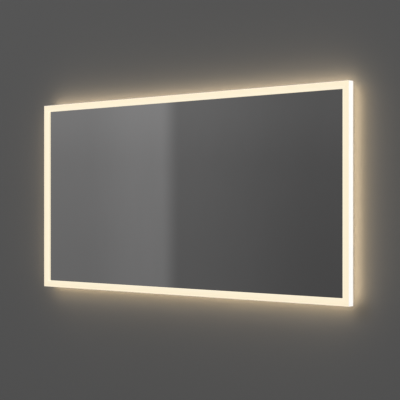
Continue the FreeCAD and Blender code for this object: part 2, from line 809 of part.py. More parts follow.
def ear_screw_spots():
    """Two screws through each of the driver's ears."""
    ends = ("driver_left - cap_thickness - ear_length / 2",
            "driver_right + cap_thickness + ear_length / 2")
    return [(x, f"driver_z + {sign} * ear_screw_offset") for x in ends for sign in (-1, 1)]


def terminal_screw_spots():
    """The four corner bosses of the terminal box."""
    return [(f"access_x + {i} * terminal_screw_x", f"terminal_middle + {j} * terminal_screw_z")
            for i in (-1, 1) for j in (-1, 1)]


def cover_screw_spots():
    """The four corners of the access cover."""
    return [(f"access_x + {i} * (cover_half_width - cover_screw_inset)",
             f"access_z + {j} * (cover_half_height - cover_screw_inset)")
            for i in (-1, 1) for j in (-1, 1)]


def hanger_bolt_spots():
    """Two bolts through each hanger, the pan and the strut behind it."""
    return [(f"{side} * strut_spacing / 2 + {step} * hanger_bolt_offset", "hanger_bolt_z")
            for side in (-1, 1) for step in (-1, 1)]


def back_pan():
    """A pressed steel pan: a screwed flange round a shallow box with its openings."""
    body = document.addObject("PartDesign::Body", "back_pan")
    flange_half = [f"mirror_{side} / 2 - pan_inset" for side in ("width", "height")]
    sketch = outline(body, "XZ_Plane", "pan_flange_outline", rectangle(*flange_half),
                     offset="-frame_rear")
    pad(body, "pan_flange", sketch, "pan_gauge", reverse=True)
    box_half = ("box_half_width", "box_half_height")
    sketch = outline(body, "XZ_Plane", "pan_box_outline", rectangle(*box_half),
                     offset="-frame_rear")
    pad(body, "pan_box", sketch, "pan_rear - frame_rear", reverse=True)
    hollow_half = [f"{side} - pan_gauge" for side in box_half]
    sketch = outline(body, "XZ_Plane", "pan_hollow_outline", rectangle(*hollow_half),
                     offset="-frame_rear")
    hollow = pocket(body, "pan_hollow", sketch, "pan_inside - frame_rear")

    outer_x = value("box_half_width")
    rear = value("pan_rear")

    def corner_edge(at_x):
        return lambda edge: (edge.BoundBox.YLength > value("pan_gauge") * 2
                             and abs(abs(edge.Vertexes[0].X) - at_x) < NEAR)

    inner = body.newObject("PartDesign::Fillet", "pan_inner_corners")
    inner.Base = (hollow, edges_where(hollow, corner_edge(outer_x - value("pan_gauge"))))
    inner.setExpression("Radius", bound("pan_corner - pan_gauge"))
    document.recompute()
    outer = body.newObject("PartDesign::Fillet", "pan_outer_corners")
    outer.Base = (inner, edges_where(inner, corner_edge(outer_x)))
    outer.setExpression("Radius", bound("pan_corner"))
    document.recompute()
    rim = body.newObject("PartDesign::Fillet", "pan_rear_round")
    rim.Base = (outer, edges_where(outer, lambda edge: edge.BoundBox.YLength < NEAR
                                   and abs(edge.BoundBox.YMin - rear) < NEAR))
    rim.setExpression("Radius", bound("pan_edge_round"))

    beads = []
    for sign in (-1, 1):
        middle = f"{sign} * bead_height / 2"
        beads.append([(f"{i} * bead_length / 2", f"{middle} + {j} * bead_width / 2")
                      for i, j in ((-1, -1), (1, -1), (1, 1), (-1, 1))])
    sketch = outline(body, "XZ_Plane", "pan_bead_outlines", *beads, offset="-pan_rear")
    pad(body, "pan_beads", sketch, "bead_rise", reverse=True)

    holes = [(x, z, "screw_hole") for x, z in pan_screw_spots()]
    holes += [(x, z, "screw_hole") for x, z in ear_screw_spots() + terminal_screw_spots()]
    holes += [(x, z, "thread_radius") for x, z in cover_screw_spots()]
    holes += [(x, z, "bolt_hole") for x, z in hanger_bolt_spots()]
    holes.append(("access_x", "grommet_z", "grommet_neck"))
    pocket(body, "pan_holes", circles(body, "XZ_Plane", "pan_hole_circles", holes))
    opening = [(f"access_x + {i} * access_width / 2", f"access_z + {j} * access_height / 2")
               for i, j in ((-1, -1), (1, -1), (1, 1), (-1, 1))]
    pocket(body, "access_opening", outline(body, "XZ_Plane", "access_outline", opening))
    hole = circles(body, "XY_Plane", "sensor_hole_circle",
                   [("sensor_x", "sensor_depth", "sensor_barrel + thread_clear")],
                   offset="-box_half_height")
    pocket(body, "sensor_hole", hole, "pan_gauge", reverse=True)
    keep("back_pan", place(body))
    group("pan_screws", pan_screw("pan_screw", "pan_gauge + frame_gauge"),
          [(x, "flange_rear", z, 0) for x, z in pan_screw_spots()])


def struts():
    """Two joggled straps from the top rail to the bottom rail, behind the hangers."""
    steps = [("strut_tab_front", "strut_end"), ("strut_tab_front", "strut_jog_outer"),
             ("strut_strap_front", "strut_jog_inner")]
    front = steps + [(depth, f"-{height}") for depth, height in reversed(steps)]
    rear = [(f"{depth} + strut_gauge", height) for depth, height in reversed(front)]
    for name, side in (("left", -1), ("right", 1)):
        label = "strut_" + name
        body = document.addObject("PartDesign::Body", label)
        sketch = outline(body, "YZ_Plane", label + "_section", front + rear)
        pad(body, label + "_strap", sketch, "strut_width", middle=True)
        taps = [(f"{i} * strut_screw_offset", f"{j} * (mirror_height / 2 - flange_line)",
                 "thread_radius") for i in (-1, 1) for j in (-1, 1)]
        taps += [(f"{i} * hanger_bolt_offset", "hanger_bolt_z", "bolt_hole") for i in (-1, 1)]
        pocket(body, label + "_holes", circles(body, "XZ_Plane", label + "_hole_circles", taps))
        keep(label, place(body, f"{side} * strut_spacing / 2"))
    spots = [(f"{side} * strut_spacing / 2 + {i} * strut_screw_offset", "frame_rear",
              f"{j} * (mirror_height / 2 - flange_line)", 0)
             for side in (-1, 1) for i in (-1, 1) for j in (-1, 1)]
    group("strut_screws", sunk_screw("strut_screw", "frame_gauge + strut_gauge"), spots)


def hangers():
    """Two folded hooks that hang over the rail's lip, with their bolts and nuts."""
    foot = "rail_top + rail_above_centre"
    hook_front = "mirror_depth - rail_pocket + hook_clear"
    hook_rear = f"{hook_front} + hanger_gauge"
    section = [("pan_rear", f"{foot} + hanger_leaf"), ("pan_rear", foot),
               (hook_front, foot), (hook_front, f"{foot} - hook_drop"),
               (hook_rear, f"{foot} - hook_drop"), (hook_rear, f"{foot} + hanger_gauge"),
               ("pan_rear + hanger_gauge", f"{foot} + hanger_gauge"),
               ("pan_rear + hanger_gauge", f"{foot} + hanger_leaf")]
    for name, side in (("left", -1), ("right", 1)):
        label = "hanger_" + name
        body = document.addObject("PartDesign::Body", label)
        sketch = outline(body, "YZ_Plane", label + "_section", section)
        pad(body, label + "_fold", sketch, "hanger_length", middle=True)
        round_edges(body, label + "_outside_folds", sketch, (1, 5), "hanger_bend")
        round_edges(body, label + "_inside_folds", sketch, (2, 6), "bend_inside")
        holes = [(f"{i} * hanger_bolt_offset", "hanger_bolt_z", "bolt_hole") for i in (-1, 1)]
        pocket(body, label + "_holes", circles(body, "XZ_Plane", label + "_hole_circles", holes))
        keep(label, place(body, f"{side} * strut_spacing / 2"))

    tail = "hanger_gauge + pan_gauge + strut_gauge + bolt_nut_height + bolt_tail"
    bolt = turned("hanger_bolt", [("0", f"-({tail})"), ("bolt_radius", f"-({tail})"),
                                  ("bolt_radius", "0"), ("bolt_head", "0"),
                                  ("bolt_head", "bolt_rim"),
                                  ("bolt_crown", "bolt_head_height"),
                                  ("0", "bolt_head_height")])
    recess(bolt, "hanger_bolt", "bolt_head_height", hexagon("bolt_socket_flats"),
           "bolt_socket_depth")
    group("hanger_bolts", bolt,
          [(x, "pan_rear + hanger_gauge", z, 0) for x, z in hanger_bolt_spots()])
    nut = hex_nut("hanger_nut", "bolt_nut_flats", "bolt_nut_height", "bolt_radius + thread_clear")
    group("hanger_nuts", nut,
          [(x, "strut_strap_front - bolt_nut_height", z, 0) for x, z in hanger_bolt_spots()])


def hex_nut(name, flats, height, bore):
    """A plain hexagon nut that starts at the origin and grows towards the wall."""
    body = document.addObject("PartDesign::Body", name)
    sketch = outline(body, "XZ_Plane", name + "_shape", hexagon(flats))
    pad(body, name + "_hexagon", sketch, height, reverse=True)
    pocket(body, name + "_thread", circles(body, "XZ_Plane", name + "_bore", [("0", "0", bore)]))
    return body


def wall_rail():
    """A folded rail: a leaf on the wall with four slots, a step and a lip clear of the wall."""
    lip_rear = "-rail_pocket"
    lip_front = "-(rail_pocket + rail_gauge)"
    section = [("0", "-rail_foot"), ("0", "rail_web_top"), (lip_rear, "rail_web_top"),
               (lip_rear, "rail_top"), (lip_front, "rail_top"), (lip_front, "rail_step"),
               ("-rail_gauge", "rail_step"), ("-rail_gauge", "-rail_foot")]
    body = document.addObject("PartDesign::Body", "wall_rail")
    sketch = outline(body, "YZ_Plane", "rail_section", section)
    pad(body, "rail_run", sketch, "rail_length", middle=True)
    round_edges(body, "rail_outside_folds", sketch, (1, 5), "rail_bend")
    round_edges(body, "rail_inside_folds", sketch, (2, 6), "bend_inside")
    middles = [f"{side} * slot_spacing_{row} / 2" for row in ("outer", "inner") for side in (-1, 1)]
    straight = "(slot_length - slot_width) / 2"
    ends = [(f"{middle} + {sign} * {straight}", "0", "slot_width / 2")
            for middle in middles for sign in (-1, 1)]
    pocket(body, "slot_ends_left", circles(body, "XZ_Plane", "slot_end_circles_left", ends[0::2]))
    pocket(body, "slot_ends_right", circles(body, "XZ_Plane", "slot_end_circles_right", ends[1::2]))
    flats = [[(f"{middle} + {i} * {straight}", f"{j} * slot_width / 2")
              for i, j in ((-1, -1), (1, -1), (1, 1), (-1, 1))] for middle in middles]
    pocket(body, "slot_flats", outline(body, "XZ_Plane", "slot_flat_outlines", *flats))
    keep("wall_rail", body)


def bumpers():
    """Two rubber buttons near the lower corners, from the pan to the wall."""
    body = turned("bumper", [("0", "0"), ("bumper_radius", "0"),
                             ("bumper_radius", "bumper_rim"),
                             ("bumper_crown", "bumper_height"), ("0", "bumper_height")])
    spots = [(f"{sign} * (box_half_width - bumper_side)", "pan_rear",
              "bumper_rise - box_half_height", 0) for sign in (-1, 1)]
    group("wall_bumpers", body, spots)


# ---- electrical pieces

def access():
    """The opening's gasket and cover with four screws, and the cable grommet below it."""
    inner = ("access_width / 2", "access_height / 2")
    half = ("cover_half_width", "cover_half_height")
    holes = [(f"{i} * (cover_half_width - cover_screw_inset)",
              f"{j} * (cover_half_height - cover_screw_inset)", "screw_hole")
             for i in (-1, 1) for j in (-1, 1)]

    body = document.addObject("PartDesign::Body", "access_gasket")
    rings = (rectangle(*[f"{side} - gasket_setback" for side in half]), rectangle(*inner))
    sketch = outline(body, "XZ_Plane", "gasket_outline", *rings, offset="-pan_rear")
    pad(body, "gasket_ring", sketch, "gasket_thickness", reverse=True)
    pocket(body, "gasket_holes", circles(body, "XZ_Plane", "gasket_hole_circles", holes))
    keep("access_gasket", place(body, "access_x", "0", "access_z"))

    body = document.addObject("PartDesign::Body", "access_cover")
    sketch = outline(body, "XZ_Plane", "cover_outline", rectangle(*half),
                     offset="-(pan_rear + gasket_thickness)")
    plate = pad(body, "cover_plate", sketch, "cover_gauge", reverse=True)
    document.recompute()
    rounds = body.newObject("PartDesign::Fillet", "cover_corners")
    rounds.Base = (plate, edges_where(plate, lambda edge: edge.BoundBox.YLength > NEAR))
    rounds.setExpression("Radius", bound("cover_screw_inset / 2"))
    pocket(body, "cover_holes", circles(body, "XZ_Plane", "cover_hole_circles", holes))
    keep("access_cover", place(body, "access_x", "0", "access_z"))
    screw = pan_screw("cover_screw", "cover_gauge + gasket_thickness + pan_gauge + boss_radius")
    group("cover_screws", screw, [(x, "cover_rear", z, 0) for x, z in cover_screw_spots()])

    outer = "pan_gauge + grommet_lip"
    body = turned("supply_grommet", [
        ("grommet_bore", "-grommet_lip"), ("grommet_flange", "-grommet_lip"),
        ("grommet_flange", "0"), ("grommet_neck - thread_clear", "0"),
        ("grommet_neck - thread_clear", "pan_gauge"), ("grommet_flange", "pan_gauge"),
        ("grommet_flange", f"{outer} - grommet_lip / 2"),
        ("grommet_flange - grommet_lip / 2", outer), ("grommet_bore", outer)])
    keep("supply_grommet", place(body, "access_x", "pan_inside", "grommet_z"))


def terminals():
    """The insulating box round the mains terminals, the block in it and its screws."""
    wall = "terminal_box_wall"
    shell = block("terminal_box_shell", ("terminal_left", "terminal_right"),
                  ("terminal_front", "pan_inside"), ("terminal_low", "terminal_high"))
    hollow = block("terminal_box_hollow",
                   (f"terminal_left + {wall}", f"terminal_right - {wall}"),
                   ("terminal_floor", "pan_inside + pan_gauge"),
                   (f"terminal_low + {wall}", f"terminal_high - {wall}"))
    bosses = [rod(f"terminal_boss_{k}", "boss_radius", "terminal_box_depth",
                  x, "terminal_front", z) for k, (x, z) in enumerate(terminal_screw_spots())]
    taps = [rod(f"terminal_tap_{k}", "thread_radius", "terminal_box_depth - terminal_box_wall",
                x, "terminal_floor", z) for k, (x, z) in enumerate(terminal_screw_spots())]
    walls = cut("terminal_box_walls", shell, hollow)
    keep("terminal_box", cut("terminal_box", fuse("terminal_box_body", walls, *bosses), *taps))
    screw = pan_screw("box_screw", "pan_gauge + terminal_box_depth / 2")
    group("terminal_box_screws", screw,
          [(x, "pan_rear", z, 0) for x, z in terminal_screw_spots()])

    top, bottom = "access_z + block_height / 2", "access_z - block_height / 2"
    base = block("terminal_block_base",
                 ("access_x - block_width / 2", "access_x + block_width / 2"),
                 ("terminal_floor", "block_rear"), (bottom, top))
    tools, spots = [], []
    for pole in (-1, 0, 1):
        x = f"access_x + {pole} * pole_pitch"
        for side, start in ((-1, bottom), (1, f"{top} - wire_entry_depth")):
            well_z = f"access_z + {side} * pole_spread / 2"
            name = f"{pole + 1}_{side + 1}"
            tools.append(rod("well_" + name, "well_radius", "well_depth",
                             x, "block_rear - well_depth", well_z))
            tools.append(rod("entry_" + name, "wire_entry", "wire_entry_depth", x,
                             "terminal_floor + wire_entry_rise", start, along="z"))
            spots.append((x, "block_rear - well_depth", well_z, 0))
    keep("terminal_block", cut("terminal_block", base, *tools))
    body = turned("terminal_screw", [("0", "0"), ("well_radius - 2 * thread_clear", "0"),
                                     ("well_radius - 2 * thread_clear", "well_depth / 2"),
                                     ("0", "well_depth / 2")])
    slot = rectangle("well_radius", "recess_arm / 2")
    recess(body, "terminal_screw", "well_depth / 2", slot, "screw_recess / 2")
    group("terminal_screws", body, spots)


def earth():
    """The earth stud on the pan, with its nut."""
    base = rod("stud_disc", "stud_base", "stud_base_height", "stud_x", "tongue_rear", "stud_z")
    shank = rod("stud_shank", "stud_radius", "stud_length", "stud_x",
                "tongue_rear - stud_length", "stud_z")
    keep("earth_stud", fuse("earth_stud", base, shank))
    nut = hex_nut("earth_nut", "earth_nut_flats", "earth_nut_height", "stud_radius + thread_clear")
    keep("earth_nut", place(nut, "stud_x", "tongue_front - earth_nut_height", "stud_z"))


def driver():
    """The light driver: an extruded case, two caps with ears, the board in it and its screws."""
    z = ("driver_low", "driver_high")
    outside = block("driver_outside", ("driver_left", "driver_right"),
                    ("driver_front", "pan_inside"), z)
    inside = block("driver_inside",
                   ("driver_left - cap_thickness", "driver_right + cap_thickness"),
                   ("driver_front + driver_wall", "pan_inside - driver_wall"),
                   ("driver_low + driver_wall", "driver_high - driver_wall"))
    keep("driver_case", cut("driver_case", outside, inside))

    ear_low, ear_high = "pan_inside - ear_thickness", "pan_inside"
    ends = {
        "output": (("driver_left - cap_thickness", "driver_left"),
                   ("driver_left - cap_thickness - ear_length", "driver_left - cap_thickness")),
        "input": (("driver_right", "driver_right + cap_thickness"),
                  ("driver_right + cap_thickness", "driver_right + cap_thickness + ear_length")),
    }
    for k, (name, (plate_x, ear_x)) in enumerate(ends.items()):
        plate = block(f"cap_plate_{name}", plate_x, ("driver_front", "pan_inside"), z)
        ear = block(f"cap_ear_{name}", ear_x, (ear_low, ear_high), z)
        taps = [rod(f"ear_tap_{name}_{n}", "thread_radius", "ear_thickness", x, ear_low, at)
                for n, (x, at) in enumerate(ear_screw_spots()[2 * k:2 * k + 2])]
        cap = fuse(f"cap_body_{name}", plate, ear)
        keep(f"driver_cap_{name}", cut(f"driver_cap_{name}", cap, *taps))
    group("driver_screws", pan_screw("driver_screw", "pan_gauge + ear_thickness"),
          [(x, "pan_rear", at, 0) for x, at in ear_screw_spots()])

    inset = "driver_wall + board_clear"
    low, high = "driver_low + driver_wall", "driver_high - driver_wall"
    left, right = f"driver_left + {inset}", f"driver_right - {inset}"
    board = block("driver_board_plate", (left, right), ("board_front", "board_rear"), (low, high))
    core = block("driver_transformer",
                 ("driver_x - core_length / 2", "driver_x + core_length / 2"),
                 ("core_front", "board_front"),
                 ("driver_z - core_height / 2", "driver_z + core_height / 2"))
    cans = [rod(f"driver_can_{k}", "can_radius", "board_front - core_front",
                f"driver_x + {k} * can_offset", "core_front", "driver_z") for k in (-1, 1)]
    keep("driver_board", fuse("driver_board", board, core, *cans))


def sensor():
    """The touch-free switch: a flanged barrel through the pan's lower wall, its window and nut."""
    low = "-box_half_height"
    flange = rod("sensor_flange_disc", "sensor_flange", "sensor_flange_height", "sensor_x",
                 "sensor_depth", f"{low} - sensor_flange_height", along="z")
    barrel = rod("sensor_barrel_rod", "sensor_barrel", "sensor_length", "sensor_x",
                 "sensor_depth", low, along="z")
    seat = rod("sensor_lens_seat", "sensor_lens", "sensor_lens_depth", "sensor_x",
               "sensor_depth", f"{low} - sensor_flange_height", along="z")
    body = fuse("sensor_body", flange, barrel)
    keep("sensor_housing", cut("sensor_housing", body, seat))
    keep("sensor_lens", rod("sensor_lens", "sensor_lens - thread_clear", "sensor_lens_depth",
                            "sensor_x", "sensor_depth", f"{low} - sensor_flange_height",
                            along="z"))
    nut = document.addObject("PartDesign::Body", "sensor_nut")
    shape = outline(nut, "XY_Plane", "sensor_nut_shape", hexagon("sensor_nut_flats"))
    pad(nut, "sensor_nut_hexagon", shape, "sensor_nut_height")
    bore = circles(nut, "XY_Plane", "sensor_nut_bore",
                   [("0", "0", "sensor_barrel + thread_clear")])
    pocket(nut, "sensor_nut_thread", bore)
    keep("sensor_nut", place(nut, "sensor_x", "sensor_depth", f"{low} + pan_gauge"))


# ---- leads

ARC_SHARE = 0.45    # of the shorter run beside a bend


def lead(label, points, radius, extra=()):
    """A round lead: straight runs along a route of points, joined by tangent arcs."""
    at = [FreeCAD.Vector(x, depth - value("mirror_depth"), z - value("rail_above_centre"))
          for x, depth, z in points]
    edges = []
    last = at[0]
    for before, corner, after in zip(at, at[1:], at[2:]):
        towards, away = corner - before, after - corner
        half_turn = towards.getAngle(away) / 2
        step = ARC_SHARE * min(towards.Length, away.Length)
        towards.normalize()
        away.normalize()
        start, end = corner - towards * step, corner + away * step
        bend = step / math.tan(half_turn)
        middle_way = (away - towards).normalize()
        centre = corner + middle_way * (bend / math.cos(half_turn))
        edges.append(Part.LineSegment(last, start).toShape())
        edges.append(Part.Arc(start, centre - middle_way * bend, end).toShape())
        print(f"{label}: bend radius {bend:.1f}")
        last = end
    edges.append(Part.LineSegment(last, at[-1]).toShape())
    path = Part.Wire(edges)
    ring = Part.Wire(Part.Circle(at[0], at[1] - at[0], radius).toShape())
    tube = path.makePipeShell([ring], True, False)
    print(f"{label}: volume {tube.Volume / (math.pi * radius ** 2 * path.Length):.4f} of section"
          " times length")
    feature = document.addObject("Part::Feature", label)
    feature.Shape = tube.multiFuse(list(extra)) if extra else tube
    return keep(label, feature)


def clip(name, radius, x, depth, z, along):
    """A saddle from the pan's rear wall round a straight stretch of lead."""
    reach = f"{radius} + clip_wall"
    half = "clip_length / 2"
    spread = {"x": (half, reach), "z": (reach, half)}[along]
    body = block(name + "_body", (f"{x} - ({spread[0]})", f"{x} + {spread[0]}"),
                 (f"{depth} - ({reach})", "pan_inside"),
                 (f"{z} - ({spread[1]})", f"{z} + {spread[1]}"))
    start = (f"{x} - {half}", z) if along == "x" else (x, f"{z} - {half}")
    bore = rod(name + "_bore", f"{radius} + thread_clear", "clip_length",
               start[0], depth, start[1], along=along)
    return cut(name, body, bore)


def leads():
    """The leads inside the pan, each along its route, and the clips that hold them.

    The shares of each run are chosen by hand, so that no bend is tight.
    """
    flat = value("lead_depth")
    at_cap = value("cap_lead_depth")
    box_left = value("terminal_left")
    cap_right = value("driver_right") + value("cap_thickness")
    cap_left = value("driver_left") - value("cap_thickness")
    upper = value("driver_z") + value("ear_screw_offset") / 2
    lower = value("driver_z") - value("ear_screw_offset") / 2
    straight_z = value("supply_lead_z")
    off_line = value("lead_off_line")

    reach = box_left - cap_right
    lead("supply_lead", [
        (box_left, flat, straight_z), (box_left - 0.55 * reach, flat, straight_z),
        (box_left - 0.7 * reach, (flat + at_cap) / 2 + off_line,
         (straight_z + upper) / 2 + off_line),
        (box_left - 0.85 * reach, at_cap, upper), (cap_right, at_cap, upper)],
        value("supply_lead_radius"))

    sensor_x, sensor_depth, top = value("sensor_x"), value("sensor_depth"), value("sensor_top")
    rise = lower - top
    lead("sensor_lead", [
        (sensor_x, sensor_depth, top), (sensor_x, sensor_depth, top + 0.5 * rise),
        (sensor_x - value("sensor_lead_sway"), sensor_depth - value("sensor_lead_lift"),
         top + 0.8 * rise),
        (cap_right + 0.45 * (sensor_x - cap_right), at_cap, lower),
        (cap_right, at_cap, lower)], value("lead_radius"))

    strip_z, strip_depth = value("strip_lead_z"), value("strip_lead_depth")
    web = -value("mirror_width") / 2 + value("web_inset")
    run = cap_left - web
    lead("strip_lead", [
        (cap_left, at_cap, value("driver_z")), (cap_left - 0.2 * run, at_cap, value("driver_z")),
        (cap_left - 0.45 * run, (at_cap + strip_depth) / 2, strip_z + value("strip_lead_rise")),
        (cap_left - 0.7 * run, strip_depth, strip_z), (web, strip_depth, strip_z)],
        value("lead_radius"))

    tab_z, tab_depth = value("demister_tab_z"), value("demister_tab_depth")
    tab_end = value("demister_tab_x") + value("demister_tab_length") / 2
    gap = box_left - tab_end
    lead("demister_lead", [
        (tab_end, tab_depth, tab_z), (tab_end + 0.3 * gap, tab_depth, tab_z),
        (tab_end + 0.7 * gap, flat, tab_z), (box_left, flat, tab_z)], value("lead_radius"))

    stud_x, stud_z = value("stud_x"), value("stud_z")
    front, gauge = value("tongue_front"), value("tongue_gauge")
    crimp_start = stud_z + value("tongue_length") - value("crimp_length") / 2
    crimp_end = crimp_start + value("crimp_length")
    crimp_depth = front - value("crimp_radius") + gauge / 2
    base = FreeCAD.Vector(0, -value("mirror_depth"), -value("rail_above_centre"))
    along_y = FreeCAD.Vector(0, 1, 0)
    stud_at = base + FreeCAD.Vector(stud_x, front, stud_z)
    tongue = Part.makeCylinder(value("tongue_radius"), gauge, stud_at, along_y)
    width = value("crimp_tab_width")
    tab = Part.makeBox(width, gauge, value("tongue_length"),
                       stud_at - FreeCAD.Vector(width / 2, 0, 0))
    bore = Part.makeCylinder(value("stud_radius") + value("thread_clear"), gauge, stud_at, along_y)
    crimp = Part.makeCylinder(value("crimp_radius"), value("crimp_length"),
                              base + FreeCAD.Vector(stud_x, crimp_depth, crimp_start))
    ring = tongue.fuse(tab).cut(bore)
    right = value("terminal_right")
    drop = value("tongue_length") + value("crimp_length")
    lead("earth_lead", [
        (right, flat, crimp_end + drop), (right + 0.5 * (stud_x - right), flat, crimp_end + drop),
        (stud_x, (flat + crimp_depth) / 2, crimp_end + 0.7 * drop),
        (stud_x, crimp_depth, crimp_end)],
        value("earth_lead_radius"), (ring, crimp))

    clips = [clip(f"supply_clip_{end}", "supply_lead_radius", f"terminal_left - clip_{end}",
                  "lead_depth", "supply_lead_z", "x") for end in ("near", "far")]
    clips.append(clip("sensor_clip", "lead_radius", "sensor_x", "sensor_depth",
                      "sensor_top + sensor_clip_rise", "z"))
    compound = document.addObject("Part::Compound", "lead_clips")
    compound.Links = clips
    keep("lead_clips", compound)


def write_parts():
    """Checks every object, then writes each sub-part."""
    document.recompute()
    for item in document.Objects:
        if "Invalid" in item.State or "Error" in item.State:
            raise RuntimeError(f"{item.Label} failed: {item.State}")
    for piece in subparts:
        if piece.Shape.isNull() or not piece.Shape.isValid():
            raise RuntimeError(f"{piece.Label} has no valid shape")
    os.makedirs("parts", exist_ok=True)
    for piece in subparts:
        piece.Shape.exportStep(f"parts/{piece.Label}.step")
    print(f"{len(subparts)} sub-parts written")


fill_sheets()
opal_border()
frame()
light_strips()
strip_links()
corner_keys()
glass()
back_pan()
struts()
hangers()
wall_rail()
bumpers()
access()
terminals()
earth()
driver()
sensor()
leads()
write_parts()
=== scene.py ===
import math

import bmesh
import bpy
from mathutils import Matrix, Vector


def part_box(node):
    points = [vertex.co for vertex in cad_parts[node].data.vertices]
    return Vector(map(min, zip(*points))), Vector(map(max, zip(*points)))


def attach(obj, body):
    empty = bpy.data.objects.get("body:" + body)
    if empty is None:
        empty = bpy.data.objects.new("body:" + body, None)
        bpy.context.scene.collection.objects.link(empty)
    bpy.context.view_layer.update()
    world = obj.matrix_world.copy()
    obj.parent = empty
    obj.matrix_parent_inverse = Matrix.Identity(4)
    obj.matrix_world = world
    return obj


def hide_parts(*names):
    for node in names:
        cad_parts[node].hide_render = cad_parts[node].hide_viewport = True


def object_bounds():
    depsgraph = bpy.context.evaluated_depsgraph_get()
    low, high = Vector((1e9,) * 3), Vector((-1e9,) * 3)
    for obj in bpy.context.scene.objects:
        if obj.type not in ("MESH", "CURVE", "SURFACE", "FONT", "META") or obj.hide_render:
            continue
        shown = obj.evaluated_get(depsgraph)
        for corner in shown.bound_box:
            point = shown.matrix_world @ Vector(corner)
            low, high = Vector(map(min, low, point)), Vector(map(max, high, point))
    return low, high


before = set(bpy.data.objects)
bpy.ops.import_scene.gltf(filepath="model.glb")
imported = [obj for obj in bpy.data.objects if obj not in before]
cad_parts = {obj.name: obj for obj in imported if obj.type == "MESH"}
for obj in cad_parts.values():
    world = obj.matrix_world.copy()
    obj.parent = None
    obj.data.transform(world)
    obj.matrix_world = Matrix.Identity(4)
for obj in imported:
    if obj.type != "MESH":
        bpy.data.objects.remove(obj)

# Looks of a lighted bathroom mirror: an opal border lit from behind round a silvered glass, on a
# coated steel back that hangs on a zinc plated rail. Everything is in metres.

cad_low, cad_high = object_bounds()
CENTRE = (cad_low + cad_high) / 2
HALF_WIDTH = (cad_high.x - cad_low.x) / 2
HALF_HEIGHT = (cad_high.z - cad_low.z) / 2
WALL_Y = cad_high.y
LIP_WIDTH = cad_high.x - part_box("diffuser_right")[0].x
FRONT_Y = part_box("diffuser_right")[0].y
REAR_LIP_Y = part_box("diffuser_right")[1].y


# ---------------------------------------------------------------- node trees

class Tree:
    """A node tree in the making, with short calls for the nodes that the finishes use."""

    def __init__(self, tree):
        self.tree = tree
        tree.nodes.clear()

    def add(self, kind, **settings):
        node = self.tree.nodes.new("ShaderNode" + kind)
        for name, value in settings.items():
            setattr(node, name, value)
        return node

    def feed(self, socket, value):
        """Joins a socket to another socket, or sets it to a plain value."""
        if isinstance(value, bpy.types.NodeSocket):
            self.tree.links.new(value, socket)
        elif value is not None:
            socket.default_value = value

    def math(self, operation, *values, clamp=False):
        node = self.add("Math", operation=operation, use_clamp=clamp)
        for socket, value in zip(node.inputs, values):
            self.feed(socket, value)
        return node.outputs[0]

    def vector(self, operation, *values):
        node = self.add("VectorMath", operation=operation)
        for socket, value in zip(node.inputs, values):
            self.feed(socket, value)
        return node.outputs["Value" if operation == "DOT_PRODUCT" else "Vector"]

    def split(self, vector):
        node = self.add("SeparateXYZ")
        self.feed(node.inputs[0], vector)
        return node.outputs

    def join(self, x, y, z):
        node = self.add("CombineXYZ")
        for socket, value in zip(node.inputs, (x, y, z)):
            self.feed(socket, value)
        return node.outputs[0]

    def spread(self, value, low, high, to_low=0.0, to_high=1.0):
        """Maps low..high to to_low..to_high with soft ends."""
        node = self.add("MapRange", interpolation_type="SMOOTHSTEP")
        for socket, number in zip(node.inputs, (value, low, high, to_low, to_high)):
            self.feed(socket, number)
        return node.outputs[0]

    def mix(self, factor, first, second):
        node = self.add("Mix", data_type="RGBA")
        self.feed(node.inputs["Factor"], factor)
        self.feed(node.inputs[6], first)
        self.feed(node.inputs[7], second)
        return node.outputs[2]

    def object_place(self):
        return self.add("TexCoord").outputs["Object"]

    def object_normal(self):
        return self.add("TexCoord").outputs["Normal"]

    def noise(self, place, scale, detail, roughness=0.5):
        node = self.add("TexNoise")
        self.feed(node.inputs["Vector"], place)
        self.feed(node.inputs["Scale"], scale)
        self.feed(node.inputs["Detail"], detail)
        self.feed(node.inputs["Roughness"], roughness)
        return node.outputs[0]

    def effect(self, name, **values):
        """Places one of the shared effects, and returns its outputs by name."""
        node = self.add("Group", node_tree=bpy.data.node_groups[name])
        for socket, value in values.items():
            self.feed(node.inputs[socket.replace("_", " ")], value)
        return node.outputs


class Effect(Tree):
    """A node group that several finishes share, with named inputs and outputs."""

    def __init__(self, name, inputs, outputs):
        super().__init__(bpy.data.node_groups.new(name, "ShaderNodeTree"))
        for label, kind, value in inputs:
            self.socket("INPUT", label, kind).default_value = value
        for label, kind in outputs:
            self.socket("OUTPUT", label, kind)
        self.given = self.tree.nodes.new("NodeGroupInput").outputs
        self.made = self.tree.nodes.new("NodeGroupOutput").inputs

    def socket(self, way, label, kind):
        return self.tree.interface.new_socket(label, in_out=way, socket_type="NodeSocket" + kind)


class Finish(Tree):
    """A material: its Principled shader, and the trees that feed it."""

    def __init__(self, slot, **constants):
        self.material = bpy.data.materials.get(slot) or bpy.data.materials.new(slot)
        self.material.use_nodes = True
        super().__init__(self.material.node_tree)
        self.shader = self.add("BsdfPrincipled")
        output = self.add("OutputMaterial")
        self.feed(output.inputs["Surface"], self.shader.outputs[0])
        self.set(**constants)

    def set(self, **values):
        for name, value in values.items():
            self.feed(self.shader.inputs[name.replace("_", " ")], value)

    def bump(self, height, depth, normal=None):
        """Raises the surface by up to depth metres where height is 1."""
        node = self.add("Bump")
        self.feed(node.inputs["Distance"], depth)
        self.feed(node.inputs["Height"], height)
        if normal is not None:
            self.feed(node.inputs["Normal"], normal)
        self.set(Normal=node.outputs[0])


def tone(level, red=1.0, green=1.0, blue=1.0):
    """A colour of the given lightness, leaning to red, green or blue."""
    return (level * red, level * green, level * blue, 1.0)


# ------------------------------------------------------------ shared effects

